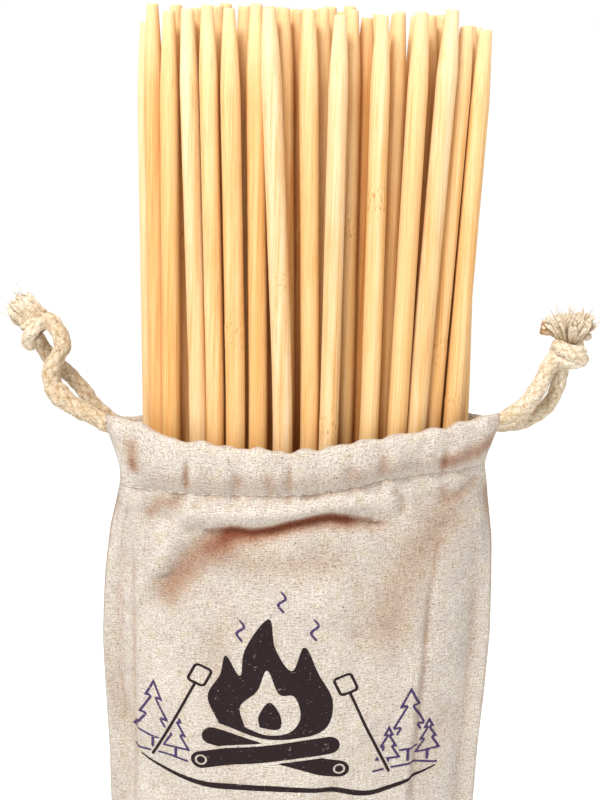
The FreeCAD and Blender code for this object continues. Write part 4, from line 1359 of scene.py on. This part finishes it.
def build_print(points, uv, shade):
    sheet = resample(np.concatenate([points, uv, shade[..., None]], -1))
    x, z = (sheet[..., 0] + 3.0) / 0.93 + 3.0, (sheet[..., 2] - 583.0) / 0.83
    dark = dark_ink(x, z)
    plum = plum_ink(x, z, dark)
    for name, field, ink, lift in (("print_dark", dark, INK_DARK, 0.06),
                                   ("print_plum", plum, INK_PLUM, 0.05)):
        verts, faces = cut_sheet(field, sheet, lift)
        # the print carries the cloth's painted fold shade, for the cloth showing through it
        piece = make_mesh(name, verts[:, :3], faces, verts[:, 3:5], {"fold": verts[:, 5]})
        dress(piece, ink, ride="bag")


# ------------------------------------------------------------------ cords
# Each cord is two strands, front then back, given as points from inside the hem to the knot
LEFT_STRANDS = [
    [(-41.5, -10.3, 656.4), (-45.5, -8.1, 656.8), (-49.0, -6.1, 657.6), (-51.8, -5.5, 658.6),
     (-55.2, -5.0, 660.4), (-59.2, -4.4, 662.2), (-63.2, -3.8, 664.6), (-66.0, -3.2, 668.0),
     (-66.5, -3.0, 671.8), (-64.9, -3.2, 675.4), (-63.5, -2.9, 678.7), (-64.5, -2.6, 682.0),
     (-66.5, -1.8, 684.3), (-69.0, -0.8, 685.0)],
    [(-41.5, 10.5, 653.6), (-45.5, 8.6, 654.6), (-49.5, 6.4, 656.0), (-53.2, 4.9, 658.4),
     (-56.3, 3.8, 661.8), (-58.9, 3.2, 665.4), (-61.2, 2.6, 668.2), (-63.6, 2.0, 670.8),
     (-66.5, 1.6, 673.0), (-68.5, 1.4, 675.7), (-69.7, 0.9, 678.0), (-70.9, 0.0, 680.4)]]
RIGHT_STRANDS = [
    [(41.5, -10.4, 659.8), (45.0, -8.3, 660.8), (48.6, -6.2, 662.0), (52.2, -5.3, 663.5),
     (56.4, -4.6, 666.0), (59.8, -3.8, 669.6), (62.0, -3.2, 673.6), (63.6, -2.2, 677.2),
     (66.0, -0.9, 680.0), (68.2, 0.0, 680.6)],
    [(41.5, 10.5, 657.0), (45.5, 8.6, 657.8), (49.6, 6.2, 658.6), (53.4, 4.4, 659.5),
     (57.0, 3.0, 660.5), (60.4, 2.6, 662.0), (63.3, 2.2, 664.2), (65.7, 1.9, 667.4),
     (66.8, 1.7, 670.6), (67.2, 1.4, 673.5), (67.6, 0.9, 676.4), (68.2, 0.2, 679.6)]]
# name, side along x, strands, distance out at which they are cut in two, and two end
# points (metres)
CORDS = [
    ("left", -1, LEFT_STRANDS, 59.0, (-0.0620, 0, 0.6650), (-0.0690, 0, 0.6790)),
    ("right", 1, RIGHT_STRANDS, 57.5, (0.0612, 0, 0.6684), (0.0668, 0, 0.6775))]


def build_cord(name, sign, strands, cut, blend_from, blend_to):
    lower, upper = Parts(), Parts()
    sides = CORD_SIDES
    for n, (points, radius) in enumerate(zip(strands, (2.18, 1.95))):
        path = smooth_curve(points, 0.32)
        out = np.abs(path[:, 0])
        # thinner where it is squeezed inside the hem
        size = radius * (0.72 + 0.28 * step(48.0, 54.0, out))
        if sign < 0 and n == 0:
            size = size * (1 + 0.22 * np.exp(-((path[:, 2] - 665.5) / 4.5) ** 2))
        verts, _, uv, groove = braid(path, 1.0, seed=50 + n + 10 * (sign > 0), depth=0.09,
                                     taper=size, pitch=4.6)
        if sign < 0:
            groove = np.clip(groove * 0.85 + 0.26, 0, 1)
            groove[-1] = 0.3
        # one continuous skin cut at a ring, so the two halves meet exactly
        ring = int(np.argmin(np.abs(out - cut)))
        low = slice((ring + 1) * sides)
        lower.add(verts[low], grid_faces(ring + 1, sides, wrap=True), uv[low], groove[low])
        rings = len(path) - ring
        end = len(path) * sides
        high = np.r_[ring * sides:end, end + 1]
        faces = grid_faces(rings, sides, wrap=True) + end_cap(rings, sides, rings * sides)
        upper.add(verts[high], faces, uv[high], groove[high])
    lower = dress(lower.done(name + "_cord_lower"), CORD)
    upper = dress(upper.done(name + "_cord_upper"), CORD)
    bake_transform(lower)
    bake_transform(upper)
    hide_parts(name + "_cord_strands")
    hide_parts(name + "_cord_strands")


def hem_run(face, x, lift):
    """Points inside the hem, halfway between its stitches and its rim, raised by lift."""
    z = 0.5 * (soft(x, face.stitch, 1.5) + soft(x, face.rim, 1.5)) + lift
    return np.column_stack([x, face.side * (arc_depth(x) - 0.75), z])


def build_hem_cord(name, open_side, lift):
    """A cord's run inside the hems, turning round at the side away from its ends."""
    far = -open_side
    run = np.linspace(open_side * 45.5, far * 45.5, 15)
    front_run, back_run = hem_run(FRONT, run, lift), hem_run(BACK, run[::-1], lift)
    z_front, z_back = front_run[-1, 2], back_run[0, 2]
    degrees = np.linspace(-60, 60, 7)
    angle = np.radians(degrees)
    turn = np.column_stack([far * (43.2 + 3.7 * np.cos(angle)),
                            7.6 * np.sin(angle) / math.sin(math.radians(60)),
                            z_front + (z_back - z_front) * (degrees + 60) / 120])
    path = smooth_curve(np.vstack([front_run, turn, back_run]), 0.5)
    parts = Parts()
    parts.add(*braid(path, 1.35, sides=40, depth=0.12, seed=60))
    dress(parts.done(name + "_cord_in_hem"), CORD, ride="bag",
          replaces=name + "_drawcord_loop")


def build_knot(name, centre, axis, turns, radius, rise, cord, cross, seed):
    """A knot pulled tight: turns of cord round its own middle and one lying over them.
    cross is given sideways, towards the front, and along the axis."""
    axis = unit(np.array(axis, float))
    sideways = unit(np.cross([0, 1.0, 0], axis))
    forward = np.cross(sideways, axis)
    if forward[1] > 0:
        forward = -forward
    basis = np.array([sideways, forward, axis])

    def place(points):
        return np.array(centre) + np.asarray(points, float) @ basis

    t = np.linspace(0, 1, 60)
    angle = 2 * np.pi * turns * t + 2.4
    ends = np.minimum(t, 1 - t)
    out = radius * (0.42 + 0.58 * step(0, 0.12, ends)) * (1 + 0.06 * np.sin(2 * angle + seed))
    height = rise * turns * (t - 0.5) + 0.35 * np.sin(angle + 0.8)
    coil = np.stack([out * np.cos(angle), out * np.sin(angle), height], 1)
    parts = Parts()
    parts.add(*braid(smooth_curve(place(coil), 0.34), cord, seed=seed))
    parts.add(*braid(smooth_curve(place(cross), 0.34), cord * 0.95, seed=seed + 1))
    # a filled core, so that nothing shows through, with a middling painted shade
    polar, round_ = np.meshgrid(np.linspace(0, np.pi, 16),
                                np.linspace(0, 2 * np.pi, 24, endpoint=False), indexing="ij")
    core = np.stack([np.sin(polar) * np.cos(round_) * (radius + 0.5),
                     np.sin(polar) * np.sin(round_) * (radius + 0.5),
                     np.cos(polar) * (rise * turns / 2 + 0.9)], -1).reshape(-1, 3)
    parts.add(place(core), grid_faces(16, 24, wrap=True), groove=0.5)
    dress(parts.done(name + "_knot_cord"), CORD, ride=name + "_knot",
          replaces=name + "_cord_knot")


def add_yarn(parts, root, tip, root_radius, tip_radius, curl, random, sides=7, rings=12, tone=0.0):
    """One wavy yarn; tone darkens it towards the tip."""
    root = np.array(root, float)
    reach = np.array(tip, float) - root
    t = np.linspace(0, 1, rings)
    side_a = unit(np.cross(unit(reach), [0.3, 1.0, 0.2]))
    side_b = np.cross(unit(reach), side_a)
    rate_a, rate_b = random.uniform(3, 7), random.uniform(3, 7)
    phase_a, phase_b = random.uniform(0, 6), random.uniform(0, 6)
    sway = (side_a * (np.sin(rate_a * t + phase_a) - math.sin(phase_a))[:, None]
            + side_b * (np.sin(rate_b * t + phase_b) - math.sin(phase_b))[:, None])
    path = root + reach * t[:, None] + sway * curl * (t[:, None] ** 1.2)
    radius = root_radius + (tip_radius - root_radius) * t
    radius = (radius * (1 + 0.14 * np.sin(t * 17 + phase_a))
              * np.sqrt(np.clip((1.02 - t) * 6, 0.06, 1)))
    # painted shade at the root where the yarns bunch, then a random tone and the tone towards the
    # tip
    groove = np.clip(0.6 * (1 - t) ** 2 + 0.25 * random.uniform() ** 2 + tone * t, 0, 1)
    verts, faces = tube(path, radius, sides)
    parts.add(verts, faces, groove=np.concatenate([np.repeat(groove, sides), [0.5, 0.1]]))


def tassel(root, axis, spread, length, count, seed, fan, width, thick=1.0):
    """A bunch of yarns with a few loose fibres; fan scales the spread in its two directions."""
    random = np.random.default_rng(seed)
    axis = unit(np.array(axis, float))
    side_a = unit(np.cross([0, 1.0, 0], axis))
    side_b = np.cross(axis, side_a)
    parts = Parts()

    def scatter(nearest):
        """A random share out from the middle, with its place and its lean."""
        angle = random.uniform(0, 2 * np.pi)
        share = math.sqrt(random.uniform(nearest, 1))
        along_a, along_b = side_a * math.cos(angle), side_b * math.sin(angle)
        place = (along_a + along_b * 0.85) * share * width
        return share, place, (along_a * fan[0] + along_b * fan[1]) * share * spread

    for _ in range(count):
        share, place, lean = scatter(0)
        base = np.array(root) + place
        reach = length * random.uniform(0.72, 1.05) * (1 - 0.22 * share)
        add_yarn(parts, base, base + axis * reach + lean, random.uniform(0.46, 0.60) * thick,
                 random.uniform(0.52, 0.80) * thick, 0.5 * thick, random)
    for _ in range(count // 5):
        _, place, lean = scatter(0.1)
        base = np.array(root) + place * 0.85 + axis * random.uniform(0, 2)
        tip = base + axis * length * random.uniform(0.6, 1.06) + lean * 1.15
        add_yarn(parts, base, tip, 0.12, 0.09, 0.9, random, sides=4, rings=10)
    return parts


def add_stray_yarns(parts):
    """Yarns sticking out of the right tassel to either side and upwards."""
    random = np.random.default_rng(5)
    for q in range(6):
        add_yarn(parts, (67.0, -1.2, 685.9), (60.7 + 0.10 * q, -1.9 + 0.25 * q, 686.5 + 0.42 * q),
                 0.26, 0.95, 0.12, random, tone=0.95)
    for q in range(5):
        add_yarn(parts, (70.6, -0.8, 684.6), (74.6 - 0.2 * q, -0.8 + 0.4 * q, 685.3 + 0.5 * q),
                 0.6, 0.75, 0.5, random)
    add_yarn(parts, (70.6, -0.6, 685.0), (76.0, -0.8, 688.6), 0.35, 0.18, 0.3, random)
    add_yarn(parts, (70.0, -0.4, 686.0), (71.8, -0.6, 693.4), 0.35, 0.3, 0.3, random)


def build_cord_ends():
    build_knot("left", centre=(-70.6, -0.2, 683.6), axis=(-0.40, 0.05, 1), turns=1.35,
               radius=2.55, rise=1.9, cord=1.78, seed=71,
               cross=[(1.2, 2.2, 0.2), (-0.6, 3.2, -0.8), (-2.6, 2.9, -2.0), (-3.9, 1.2, -3.4),
                      (-3.8, -0.8, -4.4), (-2.2, -1.8, -4.2), (-0.6, -1.4, -3.0)])
    build_knot("right", centre=(68.9, 0.0, 680.2), axis=(0.02, 0.04, 1), turns=2.75,
               radius=2.85, rise=2.2, cord=1.95, seed=81,
               cross=[(-3.3, 0.6, 2.4), (-2.2, 3.2, 2.0), (0.0, 4.4, 1.1), (2.2, 3.6, 0.0),
                      (3.4, 1.2, -0.8), (3.0, -1.0, -1.2)])
    left = tassel(root=(-70.9, 0, 684.2), axis=(-1.02, 0, 1), spread=-0.5, length=8.6, count=150,
                  seed=91, fan=(1.0, 1.0), width=4.1)
    right = tassel(root=(68.9, 0, 683.4), axis=(-0.05, 0, 1), spread=5.2, length=8.6, count=130,
                   seed=95, fan=(1.1, 0.8), width=1.9, thick=0.78)
    add_stray_yarns(right)
    for name, parts in (("left", left), ("right", right)):
        dress(parts.done(name + "_tassel_fibres"), CORD, ride=name + "_knot",
              replaces=name + "_cord_tassel")


def build_side_threads():
    """Seam threads up both sides, a little in from the edges."""
    for name, sign, side in (("left", -1, 0), ("right", 1, 1)):
        parts = Parts()
        for low in np.arange(8.0, 626, 4.4):
            z = np.array([low, low + 1.5, low + 3.0])
            path = np.stack([sign * (half_widths(z)[side] - 2.6), np.zeros(3), z], 1)
            parts.add(*tube(path, np.array([0.12, 0.17, 0.12]), sides=6))
        dress(parts.done("side_seam_thread_" + name), THREAD, ride="bag",
              replaces="side_seam_stitching_" + name)


# ------------------------------------------------------------------ build
for number, stick in enumerate(STICKS, start=1):
    build_stick(number, stick)
front_points, front_uv, front_shade = build_panel(FRONT)
back_points, _, _ = build_panel(BACK)
build_hem_stitches(FRONT, front_points[HEM_ROWS - 1])
build_hem_stitches(BACK, back_points[HEM_ROWS - 1])
build_print(front_points, front_uv, front_shade)
build_hem_cord("left", open_side=-1, lift=-1.17)
build_hem_cord("right", open_side=1, lift=2.34)
for cord in CORDS:
    build_cord(*cord)
build_cord_ends()
build_side_threads()
dress(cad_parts["bottom_seam_stitching"], THREAD)


# ------------------------------------------------------------------ stage (in metres)
def build_floor():
    bpy.ops.mesh.primitive_circle_add(vertices=128, radius=60.0, fill_type="NGON",
                                      location=(0, 0, 0))
    floor = bpy.context.object
    floor.name = "floor"
    dress(floor, floor_material())


def build_world():
    """Warm light on the objects, plain white where the camera sees the sky."""
    world = bpy.data.worlds.new("studio")
    bpy.context.scene.world = world
    world.use_nodes = True
    nodes, links = world.node_tree.nodes, world.node_tree.links
    light = nodes["Background"]
    light.inputs["Color"].default_value = (1.0, 0.985, 0.965, 1)
    light.inputs["Strength"].default_value = 0.70
    rays = nodes.new("ShaderNodeLightPath")
    seen = nodes.new("ShaderNodeBackground")
    seen.inputs["Color"].default_value = (1, 1, 1, 1)
    seen.inputs["Strength"].default_value = 1.0
    mix = nodes.new("ShaderNodeMixShader")
    links.new(rays.outputs["Is Camera Ray"], mix.inputs[0])
    links.new(light.outputs[0], mix.inputs[1])
    links.new(seen.outputs[0], mix.inputs[2])
    links.new(mix.outputs[0], nodes["World Output"].inputs[0])


def add_area_light(name, place, target, size, power, colour):
    data = bpy.data.lights.new(name, "AREA")
    data.shape = "SQUARE"
    data.size = size
    data.energy = power
    data.color = colour
    light = bpy.data.objects.new(name, data)
    bpy.context.scene.collection.objects.link(light)
    light.location = place
    aim = Vector(target) - Vector(place)
    light.rotation_euler = aim.to_track_quat("-Z", "Y").to_euler()


def build_camera():
    """In front of the bag, looking down on its mouth and rolled a little."""
    data = bpy.data.cameras.new("camera")
    camera = bpy.data.objects.new("camera", data)
    bpy.context.scene.collection.objects.link(camera)
    pitch, roll = math.radians(14.0), math.radians(2.0)
    forward = Vector((0, math.cos(pitch), -math.sin(pitch)))
    level_up = Vector((0, math.sin(pitch), math.cos(pitch)))
    level_right = Vector((1, 0, 0))
    right = level_right * math.cos(roll) + level_up * math.sin(roll)
    up = -level_right * math.sin(roll) + level_up * math.cos(roll)
    matrix = Matrix((right, up, -forward)).transposed().to_4x4()
    matrix.translation = Vector((-1.076, -410.0, 767.7)) * MM
    camera.matrix_world = matrix
    data.sensor_width = 36.0
    data.lens = 71.82
    data.clip_start = 0.02
    data.clip_end = 200
    bpy.context.scene.camera = camera
    bpy.context.scene.view_settings.view_transform = "Standard"


build_floor()
build_world()
add_area_light("key", place=(-0.40, -0.75, 1.80), target=(0, 0, 0.64), size=0.4, power=24.0,
               colour=(1.0, 0.985, 0.96))
add_area_light("fill", place=(1.1, -1.0, 1.0), target=(0, 0, 0.6), size=1.2, power=2.0,
               colour=(1.0, 0.98, 0.96))
add_area_light("back", place=(0.3, 1.5, 1.4), target=(0, 0, 0.5), size=1.2, power=4.0,
               colour=(1.0, 1.0, 1.0))
build_camera()
